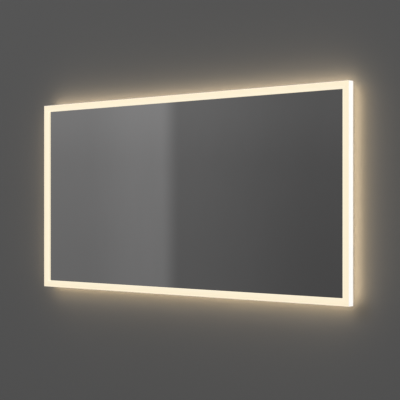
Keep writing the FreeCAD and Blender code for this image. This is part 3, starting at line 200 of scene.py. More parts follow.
def make_clouding():
    """Slow, soft patches, as in a coat or a batch of plastic that isn't quite even."""
    tree = Effect("clouding", [("Size", "Float", 0.1)], [("Mask", "Float")])
    scale = tree.math("DIVIDE", 1.0, tree.given["Size"])
    cloud = tree.noise(tree.object_place(), scale, 4.0, 0.55)
    tree.feed(tree.made["Mask"], tree.spread(cloud, 0.3, 0.7))


def make_grain():
    """Small even lumps: the peel of a powder coat, a spark-eroded mould, the skin of rubber."""
    tree = Effect("grain", [("Size", "Float", 0.001)], [("Height", "Float")])
    scale = tree.math("DIVIDE", 1.0, tree.given["Size"])
    tree.feed(tree.made["Height"], tree.noise(tree.object_place(), scale, 2.0, 0.5))


def make_drawn_lines():
    """Fine lines along one direction, as rolling, drawing or brushing leave them."""
    tree = Effect("drawn lines", [("Across", "Vector", (900.0, 900.0, 900.0))], [("Lines", "Float")])
    place = tree.vector("MULTIPLY", tree.object_place(), tree.given["Across"])
    lines = tree.noise(place, 1.0, 3.0, 0.6)
    tree.feed(tree.made["Lines"], tree.spread(lines, 0.3, 0.7))


def make_rubbed_edges():
    """The edges of a piece, softened, with a mask of where they are rubbed."""
    tree = Effect("rubbed edges", [("Radius", "Float", 0.001)],
                  [("Mask", "Float"), ("Normal", "Vector")])
    bevel = tree.add("Bevel", samples=4)
    tree.feed(bevel.inputs["Radius"], tree.given["Radius"])
    flat = tree.add("NewGeometry").outputs["True Normal"]
    facing = tree.vector("DOT_PRODUCT", bevel.outputs[0], flat)
    edge = tree.spread(facing, 0.995, 0.85)
    patchy = tree.spread(tree.noise(tree.object_place(), 60.0, 4.0, 0.7), 0.35, 0.6)
    tree.feed(tree.made["Mask"], tree.math("MULTIPLY", edge, patchy))
    tree.feed(tree.made["Normal"], bevel.outputs[0])


def make_dust():
    """Dust that settles on what faces up, in uneven drifts."""
    tree = Effect("dust", [("Amount", "Float", 0.5)], [("Mask", "Float")])
    up = tree.split(tree.object_normal())["Z"]
    lying = tree.spread(up, 0.3, 0.95)
    drift = tree.spread(tree.noise(tree.object_place(), 35.0, 5.0, 0.65), 0.3, 0.75)
    amount = tree.math("MULTIPLY", lying, tree.given["Amount"])
    tree.feed(tree.made["Mask"], tree.math("MULTIPLY", amount, drift, clamp=True))


def make_printed_tracks():
    """Parallel printed tracks along the length, broken here and there."""
    along, broken_under = 90.0, 0.42
    tree = Effect("printed tracks", [("Pitch", "Float", 0.002), ("Share", "Float", 0.5)],
                  [("Mask", "Float")])
    place = tree.split(tree.object_place())
    step = tree.math("DIVIDE", place["Z"], tree.given["Pitch"])
    beside = tree.math("ABSOLUTE", tree.math("SUBTRACT", tree.math("FRACT", step), 0.5))
    line = tree.math("LESS_THAN", beside, tree.math("MULTIPLY", tree.given["Share"], 0.5))
    row = tree.math("FLOOR", step)
    patch = tree.noise(tree.join(tree.math("MULTIPLY", place["X"], along), row, 0.0), 1.0, 0.0)
    whole = tree.math("GREATER_THAN", patch, broken_under)
    tree.feed(tree.made["Mask"], tree.math("MULTIPLY", line, whole))


def make_flow_marks():
    """Faint streaks that a moulded or extruded skin keeps, as a small change of gloss."""
    tree = Effect("flow marks", [("Stretch", "Vector", (8.0, 60.0, 60.0))], [("Mask", "Float")])
    place = tree.vector("MULTIPLY", tree.object_place(), tree.given["Stretch"])
    tree.feed(tree.made["Mask"], tree.spread(tree.noise(place, 1.0, 4.0, 0.6), 0.35, 0.65))


for make_effect in (make_clouding, make_grain, make_drawn_lines, make_rubbed_edges, make_dust,
                    make_printed_tracks, make_flow_marks):
    make_effect()


# ------------------------------------------------------------------ finishes

DUST_COLOUR = tone(0.55, 1.0, 0.97, 0.92)


def opal_acrylic():
    """Lit opal acrylic: warm cream on the front and rear lips, and nearly white on the sides."""
    creams = (0.772, 0.682, 0.492, 1), (0.784, 0.692, 0.501, 1)
    pale_cream, deep_cream = (0.787, 0.710, 0.540, 1), (0.787, 0.680, 0.480, 1)
    bright_edge, inner_edge = (0.810, 0.735, 0.582, 1), (0.93, 0.82, 0.60, 1)
    lit_side = (0.705, 0.698, 0.664, 1)
    # painted light in the base colour too: the one plastic gets a warmer base on the lips and a paler
    # one on the sides, following how each face is lit
    lip_base_lit_tint, side_base_lit_tint = (0.30, 0.27, 0.22, 1), (0.32, 0.315, 0.30, 1)
    halfway, bright_width = -LIP_WIDTH * 0.5, 0.0035

    glow = Finish("opal_acrylic", Roughness=0.36, IOR=1.49, Emission_Strength=1.0)
    place = glow.split(glow.object_place())
    beside = glow.math("SUBTRACT", glow.math("ABSOLUTE", place["X"]), HALF_WIDTH)
    height = glow.math("ABSOLUTE", glow.math("SUBTRACT", place["Z"], CENTRE.z))
    above = glow.math("SUBTRACT", height, HALF_HEIGHT)
    inward = glow.math("MAXIMUM", beside, above)
    front = glow.math("ABSOLUTE", glow.split(glow.object_normal())["Y"])

    inner_rim = glow.spread(inward, -LIP_WIDTH * 0.55, -LIP_WIDTH)
    outer_rim = glow.spread(inward, halfway, -LIP_WIDTH * 0.1)
    lips = glow.mix(glow.effect("clouding", Size=0.16)["Mask"], *creams)
    lips = glow.mix(inner_rim, lips, pale_cream)
    lips = glow.mix(outer_rim, lips, deep_cream)
    lips = glow.mix(glow.spread(inward, -bright_width, 0.0), lips, bright_edge)
    on_edge = glow.spread(front, 0.85, 0.3)
    outer_side = glow.math("GREATER_THAN", inward, halfway)
    inner_side = glow.math("MULTIPLY", on_edge, glow.math("SUBTRACT", 1.0, outer_side))
    side = glow.math("MULTIPLY", on_edge, outer_side)
    lips = glow.mix(inner_side, lips, inner_edge)
    glow.set(
        Base_Color=glow.mix(side, lip_base_lit_tint, side_base_lit_tint),
        Emission_Color=glow.mix(side, lips, lit_side),
    )

    grain = glow.effect("grain", Size=0.0009)["Height"]
    glow.bump(grain, 0.00002, glow.effect("rubbed edges", Radius=0.0008)["Normal"])
    return glow.material


def mirror_silver():
    """Silvered glass, wiped clean, with a trace of haze where the cloth went."""
    glass = Finish("mirror_silver", Metallic=1.0)
    wiped = glass.effect("drawn lines", Across=(14.0, 1.0, 5.0))["Lines"]
    cloud = glass.effect("clouding", Size=0.35)["Mask"]
    haze = glass.math("MULTIPLY", wiped, cloud)
    glass.set(
        Base_Color=glass.mix(haze, (0.86, 0.865, 0.86, 1), (0.88, 0.882, 0.88, 1)),
        Roughness=glass.spread(haze, 0.0, 1.0, 0.004, 0.03),
    )
    return glass.material


def coated_steel():
    """Sheet steel with a pale grey powder coat: a fine peel, rubbed edges and some dust."""
    coat = Finish("coated_steel")
    cloud = coat.effect("clouding", Size=0.12)["Mask"]
    peel = coat.effect("grain", Size=0.0016)["Height"]
    rubbed = coat.effect("rubbed edges", Radius=0.0009)
    dust = coat.effect("dust", Amount=0.5)["Mask"]
    colour = coat.mix(cloud, tone(0.55, 1.0, 1.0, 0.985), tone(0.59, 1.0, 1.0, 0.975))
    colour = coat.mix(coat.math("MULTIPLY", rubbed["Mask"], 0.5), colour, tone(0.42, 1.0, 1.0, 1.02))
    coat.set(
        Base_Color=coat.mix(dust, colour, DUST_COLOUR),
        Roughness=coat.spread(cloud, 0.0, 1.0, 0.42, 0.5),
    )
    coat.bump(peel, 0.00008, rubbed["Normal"])
    return coat.material


def plated(slot, tones, roughness, across, dust_amount=0.35, lines_depth=0.00002):
    """Plated or bare metal: patches of tone, rolling lines, bright rubbed edges and some dust."""
    metal = Finish(slot)
    cloud = metal.effect("clouding", Size=0.035)["Mask"]
    lines = metal.effect("drawn lines", Across=across)["Lines"]
    rubbed = metal.effect("rubbed edges", Radius=0.0007)
    dust = metal.effect("dust", Amount=dust_amount)["Mask"]
    colour = metal.mix(cloud, tones[0], tones[1])
    colour = metal.mix(metal.math("MULTIPLY", lines, 0.25), colour, tones[2])
    colour = metal.mix(rubbed["Mask"], colour, tones[3])
    metal.set(
        Base_Color=metal.mix(dust, colour, DUST_COLOUR),
        Metallic=metal.spread(dust, 0.0, 1.0, 1.0, 0.2),
        Roughness=metal.spread(metal.math("ADD", cloud, lines), 0.0, 2.0, roughness, roughness + 0.14),
    )
    metal.bump(lines, lines_depth, rubbed["Normal"])
    return metal.material


def moulded(slot, colour, other, roughness):
    """Moulded plastic or rubber with a fine skin."""
    plastic = Finish(slot)
    cloud = plastic.effect("clouding", Size=0.03)["Mask"]
    grain = plastic.effect("grain", Size=0.0007)["Height"]
    rubbed = plastic.effect("rubbed edges", Radius=0.0006)
    dust = plastic.effect("dust", Amount=0.4)["Mask"]
    body = plastic.mix(cloud, colour, other)
    plastic.set(
        Base_Color=plastic.mix(dust, body, DUST_COLOUR),
        Roughness=plastic.spread(cloud, 0.0, 1.0, roughness, roughness + 0.08),
    )
    plastic.bump(grain, 0.00003, rubbed["Normal"])
    return plastic.material


def foam(slot, colour, other, cell):
    """Cellular foam or sponge rubber: open cells in a dull dark skin, with painted shade in their
    hollows.
    """
    skin = Finish(slot, Roughness=0.92, Specular_IOR_Level=0.25)
    cells = skin.add("TexVoronoi", feature="F1")
    skin.feed(cells.inputs["Vector"], skin.object_place())
    skin.feed(cells.inputs["Scale"], 1.0 / cell)
    depth = skin.spread(cells.outputs["Distance"], 0.0, 0.6)
    cloud = skin.effect("clouding", Size=0.02)["Mask"]
    wall = skin.mix(cloud, colour, other)
    # painted shade: the bottoms of the sunken cells are darkened to near black
    skin.set(Base_Color=skin.mix(skin.spread(depth, 0.4, 0.0), wall, tone(0.01)))
    skin.bump(depth, cell * 0.5)
    return skin.material


def heater_film():
    """Clear amber film with a printed carbon track that runs to and fro over the whole pad."""
    film = Finish("heater_film", Roughness=0.3)
    low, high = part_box("demister_pad")
    pitch, track, margin = 0.012, 0.0035, 0.010
    place = film.split(film.object_place())
    step = film.math("DIVIDE", film.math("SUBTRACT", place["Z"], low.z + margin), pitch)
    beside = film.math("ABSOLUTE", film.math("SUBTRACT", film.math("FRACT", step), 0.5))
    run = film.math("LESS_THAN", beside, track / pitch / 2)
    half_run = (high.x - low.x) / 2 - margin
    inside = film.math("LESS_THAN", film.math("ABSOLUTE", place["X"]), half_run)
    odd = film.math("MODULO", film.math("FLOOR", film.math("ADD", step, 0.5)), 2.0)
    way = film.math("SUBTRACT", film.math("MULTIPLY", odd, 2.0), 1.0)
    to_turn = film.math("SUBTRACT", half_run, film.math("MULTIPLY", place["X"], way))
    off_turn = film.math("ABSOLUTE", film.math("SUBTRACT", to_turn, track / 2))
    turn = film.math("LESS_THAN", off_turn, track / 2)
    printed = film.math("MULTIPLY", film.math("MAXIMUM", run, turn), inside)
    cloud = film.effect("clouding", Size=0.05)["Mask"]
    clear = film.mix(cloud, (0.55, 0.36, 0.13, 1), (0.60, 0.40, 0.16, 1))
    film.set(
        Base_Color=film.mix(printed, clear, (0.05, 0.045, 0.04, 1)),
        Roughness=film.spread(printed, 0.0, 1.0, 0.22, 0.5),
    )
    film.bump(printed, 0.00004)
    return film.material


def circuit_board():
    """Green solder mask over copper tracks, in cloudy patches of darker and lighter green."""
    board = Finish("circuit_board", Roughness=0.35, Coat_Weight=0.3)
    tracks = board.effect("printed tracks", Pitch=0.0024, Share=0.45)["Mask"]
    cloud = board.effect("clouding", Size=0.02)["Mask"]
    mask = board.mix(cloud, (0.012, 0.085, 0.030, 1), (0.016, 0.110, 0.040, 1))
    board.set(Base_Color=board.mix(tracks, mask, (0.030, 0.190, 0.070, 1)))
    board.bump(tracks, 0.00005)
    return board.material


def strip_board():
    """White flexible board, with bare copper pads in a row."""
    board = Finish("strip_board", Roughness=0.45)
    pads = board.effect("printed tracks", Pitch=0.0167, Share=0.22)["Mask"]
    cloud = board.effect("clouding", Size=0.02)["Mask"]
    white = board.mix(cloud, tone(0.74, 1, 1, 0.97), tone(0.78, 1, 1, 0.98))
    board.set(
        Base_Color=board.mix(pads, white, (0.62, 0.33, 0.18, 1)),
        Metallic=pads,
    )
    board.bump(pads, 0.00004)
    return board.material


def light_chip():
    """Yellow phosphor that glows a little, mottled by its grains."""
    chip = Finish("light_chip", Roughness=0.4, Emission_Strength=1.0)
    grain = chip.effect("grain", Size=0.0003)["Height"]
    chip.set(
        Base_Color=chip.mix(grain, (0.80, 0.55, 0.10, 1), (0.90, 0.68, 0.20, 1)),
        Emission_Color=chip.mix(grain, (0.50, 0.40, 0.22, 1), (0.60, 0.50, 0.30, 1)),
    )
    chip.bump(grain, 0.00003)
    chip.material.cycles.emission_sampling = "NONE"    # too small to be sampled as lamps
    return chip.material


def dark_window():
    """Deep red window that lets infrared through, under a hard polish."""
    window = Finish("dark_window", Coat_Weight=0.8, Coat_Roughness=0.03)
    cloud = window.effect("clouding", Size=0.003)["Mask"]
    window.set(
        Base_Color=window.mix(cloud, (0.022, 0.003, 0.004, 1), (0.034, 0.005, 0.006, 1)),
        Roughness=window.spread(cloud, 0.0, 1.0, 0.10, 0.16),
    )
    window.bump(window.effect("grain", Size=0.0012)["Height"], 0.00001)
    return window.material


def sheath(slot, colour, other, stripe=None):
    """Cable sheath: smooth extruded plastic with drawing streaks, and a stripe on an earth lead."""
    skin = Finish(slot, Specular_IOR_Level=0.4)
    streaks = skin.effect("flow marks", Stretch=(40.0, 160.0, 40.0))["Mask"]
    cloud = skin.effect("clouding", Size=0.015)["Mask"]
    body = skin.mix(cloud, colour, other)
    if stripe:
        across = skin.split(skin.object_normal())["Y"]
        body = skin.mix(skin.spread(across, 0.30, 0.42), body, stripe)
    skin.set(
        Base_Color=body,
        Roughness=skin.spread(streaks, 0.0, 1.0, 0.42, 0.55),
    )
    skin.bump(streaks, 0.00003)
    return skin.material


ALONG = (20.0, 900.0, 900.0)       # lines that run the length of a rail or profile
ALL_WAYS = (700.0, 700.0, 700.0)   # the fine pickling of a tumbled part

FINISHES = {
    "opal_acrylic": opal_acrylic(),
    "mirror_silver": mirror_silver(),
    "coated_steel": coated_steel(),
    "zinc_steel": plated(
        "zinc_steel",
        (tone(0.60, 0.98, 1.0, 1.03), tone(0.68, 1.0, 1.0, 0.97), tone(0.50), tone(0.78)),
        0.28, ALONG),
    "zinc_screw": plated(
        "zinc_screw",
        (tone(0.62, 0.99, 1.0, 1.02), tone(0.66, 1.03, 1.0, 0.90), tone(0.52), tone(0.80)),
        0.25, ALL_WAYS),
    "terminal_brass": plated(
        "terminal_brass",
        ((0.62, 0.43, 0.17, 1), (0.68, 0.48, 0.20, 1), (0.50, 0.34, 0.13, 1), (0.80, 0.60, 0.30, 1)),
        0.24, ALL_WAYS, 0.1),
    "copper_link": plated(
        "copper_link",
        ((0.66, 0.33, 0.20, 1), (0.72, 0.38, 0.24, 1), (0.50, 0.24, 0.14, 1), (0.85, 0.52, 0.38, 1)),
        0.26, ALL_WAYS, 0.1),
    "mill_aluminium": plated(
        "mill_aluminium",
        (tone(0.66, 1.0, 1.0, 1.01), tone(0.72, 1.0, 1.0, 1.0), tone(0.54), tone(0.82)),
        0.34, ALONG, 0.2),
    "frame_aluminium": plated(
        "frame_aluminium",
        (tone(0.62, 1.0, 1.0, 1.02), tone(0.66, 1.0, 1.0, 1.01), tone(0.55), tone(0.76)),
        0.36, (500.0, 900.0, 500.0), 0.2, 0.00001),
    "black_rubber": moulded("black_rubber", tone(0.022), tone(0.032), 0.62),
    "black_plastic": moulded("black_plastic", tone(0.02), tone(0.026), 0.4),
    "grey_plastic": moulded("grey_plastic", tone(0.26), tone(0.29), 0.45),
    "white_nylon": moulded("white_nylon", tone(0.72, 1, 0.99, 0.95), tone(0.68, 1, 0.98, 0.93), 0.42),
    "foam_tape": foam("foam_tape", tone(0.03), tone(0.04), 0.0004),
    "foam_rubber": foam("foam_rubber", tone(0.018), tone(0.026), 0.0007),
    "heater_film": heater_film(),
    "circuit_board": circuit_board(),
    "strip_board": strip_board(),
    "light_chip": light_chip(),
    "dark_window": dark_window(),
    "grey_lead": sheath("grey_lead", tone(0.34), tone(0.38)),
    "black_lead": sheath("black_lead", tone(0.018), tone(0.026)),
    "green_lead": sheath(
        "green_lead", (0.03, 0.22, 0.04, 1), (0.04, 0.26, 0.05, 1), (0.72, 0.58, 0.04, 1)),
}


def slot_of(node):
    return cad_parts[node].data.materials[0].name


NODE_SLOTS = {node: slot_of(node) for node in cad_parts}
for node, slot in NODE_SLOTS.items():
    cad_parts[node].material_slots[0].material = FINISHES[slot]


# -------------------------------------------- small turned and carved pieces

SAME_CORNER = 1e-6       # metres: nearer corners of a solid are one
TURNED_STEPS = 48
SMOOTH_UNDER = math.radians(38)

SCREW_HEAD = 0.0017      # height of a pan head
SCREW_SHANK = 0.00145    # radius
BOLT_HEAD = 0.0025
BOLT_SHANK = 0.00245
EACH_TURN = 2.4          # radians from one screw's recess to the next one's


def solids(node):
    """The lowest and highest corners of each separate solid of a node."""
    work = bmesh.new()
    work.from_mesh(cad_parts[node].data)
    bmesh.ops.remove_doubles(work, verts=work.verts, dist=SAME_CORNER)
    left = set(work.verts)
    boxes = []
    while left:
        waiting = [left.pop()]
        found = []
        while waiting:
            point = waiting.pop()
            found.append(point.co.copy())
            for edge in point.link_edges:
                other = edge.other_vert(point)
                if other in left:
                    left.remove(other)
                    waiting.append(other)
        low = Vector(min(spot[axis] for spot in found) for axis in range(3))
        high = Vector(max(spot[axis] for spot in found) for axis in range(3))
        boxes.append((low, high))
    work.free()
    return sorted(boxes, key=lambda box: tuple(box[0]))


def bend(centre_radius, centre_along, radius, start, stop, steps=6):
    """Points of an arc in a turned piece's profile, from one angle to another in degrees."""
    points = []
    for k in range(steps + 1):
        angle = math.radians(start + (stop - start) * k / steps)
        points.append((centre_radius + radius * math.cos(angle),
                       centre_along + radius * math.sin(angle)))
    return points


def turned(profile, closed=False):
    """A mesh turned about the Y axis from a profile of (radius, place along Y) points.

    It is built point by point, so that its points and faces come in the same order each run.
    """
    work = bmesh.new()
    rings = []
    for radius, along in profile:
        angles = [math.tau * k / TURNED_STEPS for k in range(TURNED_STEPS if radius else 1)]
        rings.append([work.verts.new((radius * math.cos(angle), along, radius * math.sin(angle)))
                      for angle in angles])
    pairs = list(zip(rings, rings[1:]))
    if closed:
        pairs.append((rings[-1], rings[0]))
    for first, second in pairs:
        for k in range(TURNED_STEPS):
            corners = [first[k % len(first)], first[(k + 1) % len(first)],
                       second[(k + 1) % len(second)], second[k % len(second)]]
            work.faces.new(list(dict.fromkeys(corners)))    # on the axis, two corners are one
    bmesh.ops.recalc_face_normals(work, faces=work.faces)
    return as_mesh(work, "turned")


def as_mesh(work, name):
    mesh = bpy.data.meshes.new(name)
    work.to_mesh(mesh)
    work.free()
    return mesh


def prism(outline, top, bottom, narrowing):
    """A tapered prism along Y: the outline at the top, and a narrower one at the bottom."""
    work = bmesh.new()
    upper = [work.verts.new((x, top, z)) for x, z in outline]
    lower = [work.verts.new((x * narrowing, bottom, z * narrowing)) for x, z in outline]
    work.faces.new(upper)
    work.faces.new(lower)
    for k in range(len(outline)):
        after = (k + 1) % len(outline)
        work.faces.new((upper[k], upper[after], lower[after], lower[k]))
    bmesh.ops.recalc_face_normals(work, faces=work.faces)
    return as_mesh(work, "prism")


def carved(block_mesh, tool_mesh):
    """The first mesh with the second one cut out of it."""
    block = bpy.data.objects.new("block", block_mesh)
    tool = bpy.data.objects.new("tool", tool_mesh)
    for thing in (block, tool):
        bpy.context.scene.collection.objects.link(thing)
    cut = block.modifiers.new("recess", "BOOLEAN")
    cut.object = tool
    cut.solver = "EXACT"
    made = bpy.data.meshes.new_from_object(block.evaluated_get(bpy.context.evaluated_depsgraph_get()))
    for thing in (block, tool):
        bpy.data.objects.remove(thing)
    return made


def fit(name, meshes, slot, replaced=()):
    """Joins placed meshes in one piece with its finish, which rides with the mirror."""
    work = bmesh.new()
    for mesh, move in meshes:
        part = bmesh.new()
        part.from_mesh(mesh)
        part.transform(move)
        copy = as_mesh(part, "copy")
        work.from_mesh(copy)
        bpy.data.meshes.remove(copy)
    mesh = as_mesh(work, name)
    mesh.materials.append(FINISHES[slot])
    mesh.shade_smooth()
    mesh.set_sharp_from_angle(angle=SMOOTH_UNDER)
    piece = bpy.data.objects.new(name, mesh)
    bpy.context.scene.collection.objects.link(piece)
    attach(piece, "mirror_unit")
    if replaced:
        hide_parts(*replaced)


def pan_head_screw(radius, shank_radius, shank):
    """A screw with a domed head and a tapered cross recess, its seat at 0 and its head at +Y."""
    rim, fullness = SCREW_HEAD * 0.3, 0.7
    profile = [(0.0, -shank), (shank_radius * 0.6, -shank), (shank_radius, -shank + shank_radius * 0.5),
               (shank_radius, 0.0), (radius, 0.0), (radius, rim)]
    steps = 8
    for k in range(1, steps):
        angle = math.pi / 2 * k / steps
        profile.append((radius * math.cos(angle) ** fullness,
                        rim + (SCREW_HEAD - rim) * math.sin(angle)))
    profile.append((0.0, SCREW_HEAD))
    reach, arm = radius * 0.62, radius * 0.15
    cross = [(arm, arm), (arm, reach), (-arm, reach), (-arm, arm), (-reach, arm), (-reach, -arm),
             (-arm, -arm), (-arm, -reach), (arm, -reach), (arm, -arm), (reach, -arm), (reach, arm)]
    recess = prism(cross, top=SCREW_HEAD * 1.2, bottom=SCREW_HEAD * 0.35, narrowing=0.55)
    return carved(turned(profile), recess)


def button_head_bolt(radius, shank_radius, shank):
    """A bolt with a low round head and a six-sided socket, its seat at 0 and its head at +Y."""
    rim = BOLT_HEAD * 0.25
    profile = [(0.0, -shank), (shank_radius * 0.8, -shank), (shank_radius, -shank + shank_radius * 0.2),
               (shank_radius, 0.0), (radius, 0.0), (radius, rim)]
    steps, crown = 8, radius * 0.6
    for k in range(1, steps + 1):
        angle = math.pi / 2 * k / steps
        profile.append((crown + (radius - crown) * math.cos(angle),
                        rim + (BOLT_HEAD - rim) * math.sin(angle)))
    profile.append((0.0, BOLT_HEAD))
    half_across, sides = 0.0015, 6    # of the socket, between opposite sides
    corner = half_across / math.cos(math.pi / sides)
    outline = [(corner * math.cos(math.tau * k / sides), corner * math.sin(math.tau * k / sides))
               for k in range(sides)]
    socket = prism(outline, top=BOLT_HEAD * 1.2, bottom=BOLT_HEAD * 0.4, narrowing=0.98)
    return carved(turned(profile), socket)


def set_in(node, maker, head_height, shank_radius):
    """Puts a finely made screw in the place of each of a node's solids, each turned its own way."""
    boxes = solids(node)
    low, high = boxes[0]
    seat = high.y - head_height
    mesh = maker((high.x - low.x) / 2, shank_radius, seat - low.y)
    placed = []
    for number, (low, high) in enumerate(boxes):
        middle = (low + high) / 2
        turn = Matrix.Rotation(number * EACH_TURN, 4, "Y")
        placed.append((mesh, Matrix.Translation((middle.x, seat, middle.z)) @ turn))
    fit(node + "_fine", placed, NODE_SLOTS[node], (node,))


def screws():
    for node in ("pan_screws", "cover_screws", "driver_screws", "terminal_box_screws"):
        set_in(node, pan_head_screw, SCREW_HEAD, SCREW_SHANK)
    set_in("hanger_bolts", button_head_bolt, BOLT_HEAD, BOLT_SHANK)


def rubber_feet():
    """Wall buttons with a rounded rim, a ring groove, and a rivet down in the middle."""
    boxes = solids("wall_bumpers")
    low, high = boxes[0]
    radius, tall = (high.x - low.x) / 2, high.y - low.y
    foot, face, well = radius * 0.97, radius * 0.80, radius * 0.32
    groove_out, groove_in, groove_deep = radius * 0.66, radius * 0.58, 0.0007
    edge, well_edge, foot_edge = radius * 0.14, 0.0006, 0.0005
    floor = -tall * 0.55
    profile = [(0.0, -tall), (foot, -tall), (radius, -tall + foot_edge), (radius * 0.975, -edge * 1.6)]
    profile += bend(face + edge * 0.2, -edge, edge, 10, 90)
    profile += [(groove_out, 0.0), (groove_out - groove_deep * 0.5, -groove_deep),
                (groove_in + groove_deep * 0.5, -groove_deep), (groove_in, 0.0)]
    profile += bend(well + well_edge, -well_edge, well_edge, 90, 180, 4)
    profile += [(well * 0.96, floor), (0.0, floor)]
    rubber = turned(profile)
    head, rise = well * 0.8, 0.0012
    rivet = turned([(0.0, floor), (head, floor), (head, floor + rise * 0.3),
                    (head * 0.85, floor + rise * 0.75), (head * 0.5, floor + rise),
                    (0.0, floor + rise * 0.9)])
    moves = [Matrix.Translation(((low.x + high.x) / 2, high.y, (low.z + high.z) / 2))
             for low, high in boxes]
    fit("wall_bumpers_fine", [(rubber, move) for move in moves], "black_rubber", ("wall_bumpers",))
    fit("wall_bumper_rivets", [(rivet, move) for move in moves], "zinc_screw")


def rubber_grommet():
    """The cable's way in: a soft ring with rounded lips on both sides of the pan."""
    low, high = solids("supply_grommet")[0]
    pan_rear, gauge = -0.007, 0.001    # where the pan's rear face lies, and its thickness
    outer, neck, bore, rim = (high.x - low.x) / 2, 0.0065, 0.0045, 0.0003
    lip = (high.y - pan_rear) * 0.42
    front = low.y - high.y
    seat = pan_rear - high.y
    profile = bend(outer - lip, -lip, lip, 0, 90)
    profile += bend(bore + lip, -lip, lip, 90, 180)
    profile += bend(bore + lip, front + lip, lip, 180, 270)
    profile += bend(outer - lip, front + lip, lip, 270, 360)
    profile += [(outer - rim, seat - gauge), (neck, seat - gauge), (neck, seat), (outer - rim, seat)]
    middle = (low + high) / 2
    seat_place = Matrix.Translation((middle.x, high.y, middle.z))
    ring = turned(profile, closed=True)
    fit("supply_grommet_fine", [(ring, seat_place)], "black_rubber", ("supply_grommet",))


def sensor_window():
    """A window with a low dome, looking down from the sensor."""
    low, high = solids("sensor_lens")[0]
    radius, thick, dome = (high.x - low.x) / 2, high.z - low.z, 0.0005
    profile = [(0.0, -thick), (radius, -thick), (radius, 0.0)]
    steps = 8
    for k in range(1, steps):
        share = k / steps
        profile.append((radius * (1 - share), dome * (1 - (1 - share) ** 2)))
    profile.append((0.0, dome))
    middle = (low + high) / 2
    face_down = Matrix.Rotation(math.radians(-90), 4, "X")
    seat = Matrix.Translation((middle.x, middle.y, low.z)) @ face_down
    fit("sensor_lens_fine", [(turned(profile), seat)], "dark_window", ("sensor_lens",))


screws()
rubber_feet()
rubber_grommet()
sensor_window()


# ------------------------------------------------- stage, lamps and camera

FLOOR_Z = CENTRE.z - 1.25    # metres below the mirror's middle
WALL_REACH = 9.0
FLOOR_REACH = 54.0
BACKDROP_TONE = 0.12
FLOOR_TONE = 0.36
FLOOR_LIFT = 0.48        # paler to the camera alone

SKY_TONE = 0.86          # as it is seen, also in metal
SKY_LIGHT = 0.42         # and as it lights

FLATS_RADIUS = 7.0
FLATS_COLOUR = (1.0, 0.985, 0.99, 1)
FLATS_STEP = (41.3, 42.8)                 # degrees: where the darker flat meets the paler one
DARK_FLAT = (30.0, 42.0, 0.085, 0.122)    # degrees from and to, and the tone at each
PALE_FLAT = (44.6, 48.4, 0.202, 0.178)
OTHER_FLATS = (          # degrees from, to and of softness, and how much paler
    (-18.0, 10.0, 5.0, 0.075),
    (-52.0, -36.0, 3.0, 0.12),
    (-80.0, -66.0, 4.0, 0.20),
    (62.0, 80.0, 4.0, 0.16),
)
UP_THE_FLATS = (         # from, to, as shares of the radius, and the brightness at each
    (-0.13, 0.10, 0.84, 1.0),
    (0.04, 0.14, 0.0, 0.2),
    (0.25, 0.7, 0.0, 1.6),       # the ceiling
    (-0.2, -0.6, 0.0, 2.2),      # the ground
)

LAMPS = (                # name, place, width, power, and whether it shows in reflections
    ("key_lamp", (-2.6, -4.2, 2.6), 2.4, 110, False),
    ("fill_lamp", (3.6, -3.4, 1.0), 2.4, 40, False),
    ("back_lamp", (2.9, 2.6, 2.4), 1.6, 120, True),
)

HALO_COLOUR = (1.0, 0.76, 0.46)
HALO_TILT = math.radians(20)    # how far the lip's light leans outwards
HALO_OFF = 0.0006               # how far off the border the lamps stand
LIP_SHARE = 0.66                # how much of the rear lip's width is lit
LIP_LIGHT = 15.0
SIDE_LIGHT = 4.0


def sheet(name, corners, material):
    """One flat face of the stage."""
    mesh = bpy.data.meshes.new(name)
    mesh.from_pydata(corners, [], [tuple(range(len(corners)))])
    mesh.materials.append(material)
    made = bpy.data.objects.new(name, mesh)
    bpy.context.scene.collection.objects.link(made)
    return made


def stage_paint(name, colour, lift=0.0):
    """Plain paint on one side of a sheet, which isn't there from the other side.

    The lift makes it paler to the camera alone, and leaves its shadows.
    """
    material = bpy.data.materials.new(name)
    material.use_nodes = True
    tree = Tree(material.node_tree)
    paint = tree.add("BsdfDiffuse")
    tree.feed(paint.inputs["Color"], colour)
    glow = tree.add("Emission")
    seen = tree.add("LightPath").outputs["Is Camera Ray"]
    tree.feed(glow.inputs["Strength"], tree.math("MULTIPLY", seen, lift))
    both = tree.add("AddShader")
    tree.feed(both.inputs[0], paint.outputs[0])
    tree.feed(both.inputs[1], glow.outputs[0])
    clear = tree.add("BsdfTransparent")
    sides = tree.add("MixShader")
    tree.feed(sides.inputs[0], tree.add("NewGeometry").outputs["Backfacing"])
    tree.feed(sides.inputs[1], both.outputs[0])
    tree.feed(sides.inputs[2], clear.outputs[0])
    tree.feed(tree.add("OutputMaterial").inputs["Surface"], sides.outputs[0])
    return material


def make_stage():
    """A dark wall, which throws no shadow and no light back, and a pale floor."""
    reach, far = WALL_REACH, FLOOR_REACH
    wall = sheet("backdrop", [(-reach, WALL_Y, FLOOR_Z), (reach, WALL_Y, FLOOR_Z),
                              (reach, WALL_Y, FLOOR_Z + reach), (-reach, WALL_Y, FLOOR_Z + reach)],
                 stage_paint("backdrop paint", tone(BACKDROP_TONE)))
    floor = sheet("floor", [(-far, -far, FLOOR_Z), (far, -far, FLOOR_Z),
                            (far, far, FLOOR_Z), (-far, far, FLOOR_Z)],
                  stage_paint("floor paint", tone(FLOOR_TONE), FLOOR_LIFT))
    for made in (wall, floor):
        made.visible_glossy = False
    wall.visible_shadow = False
    wall.visible_diffuse = False


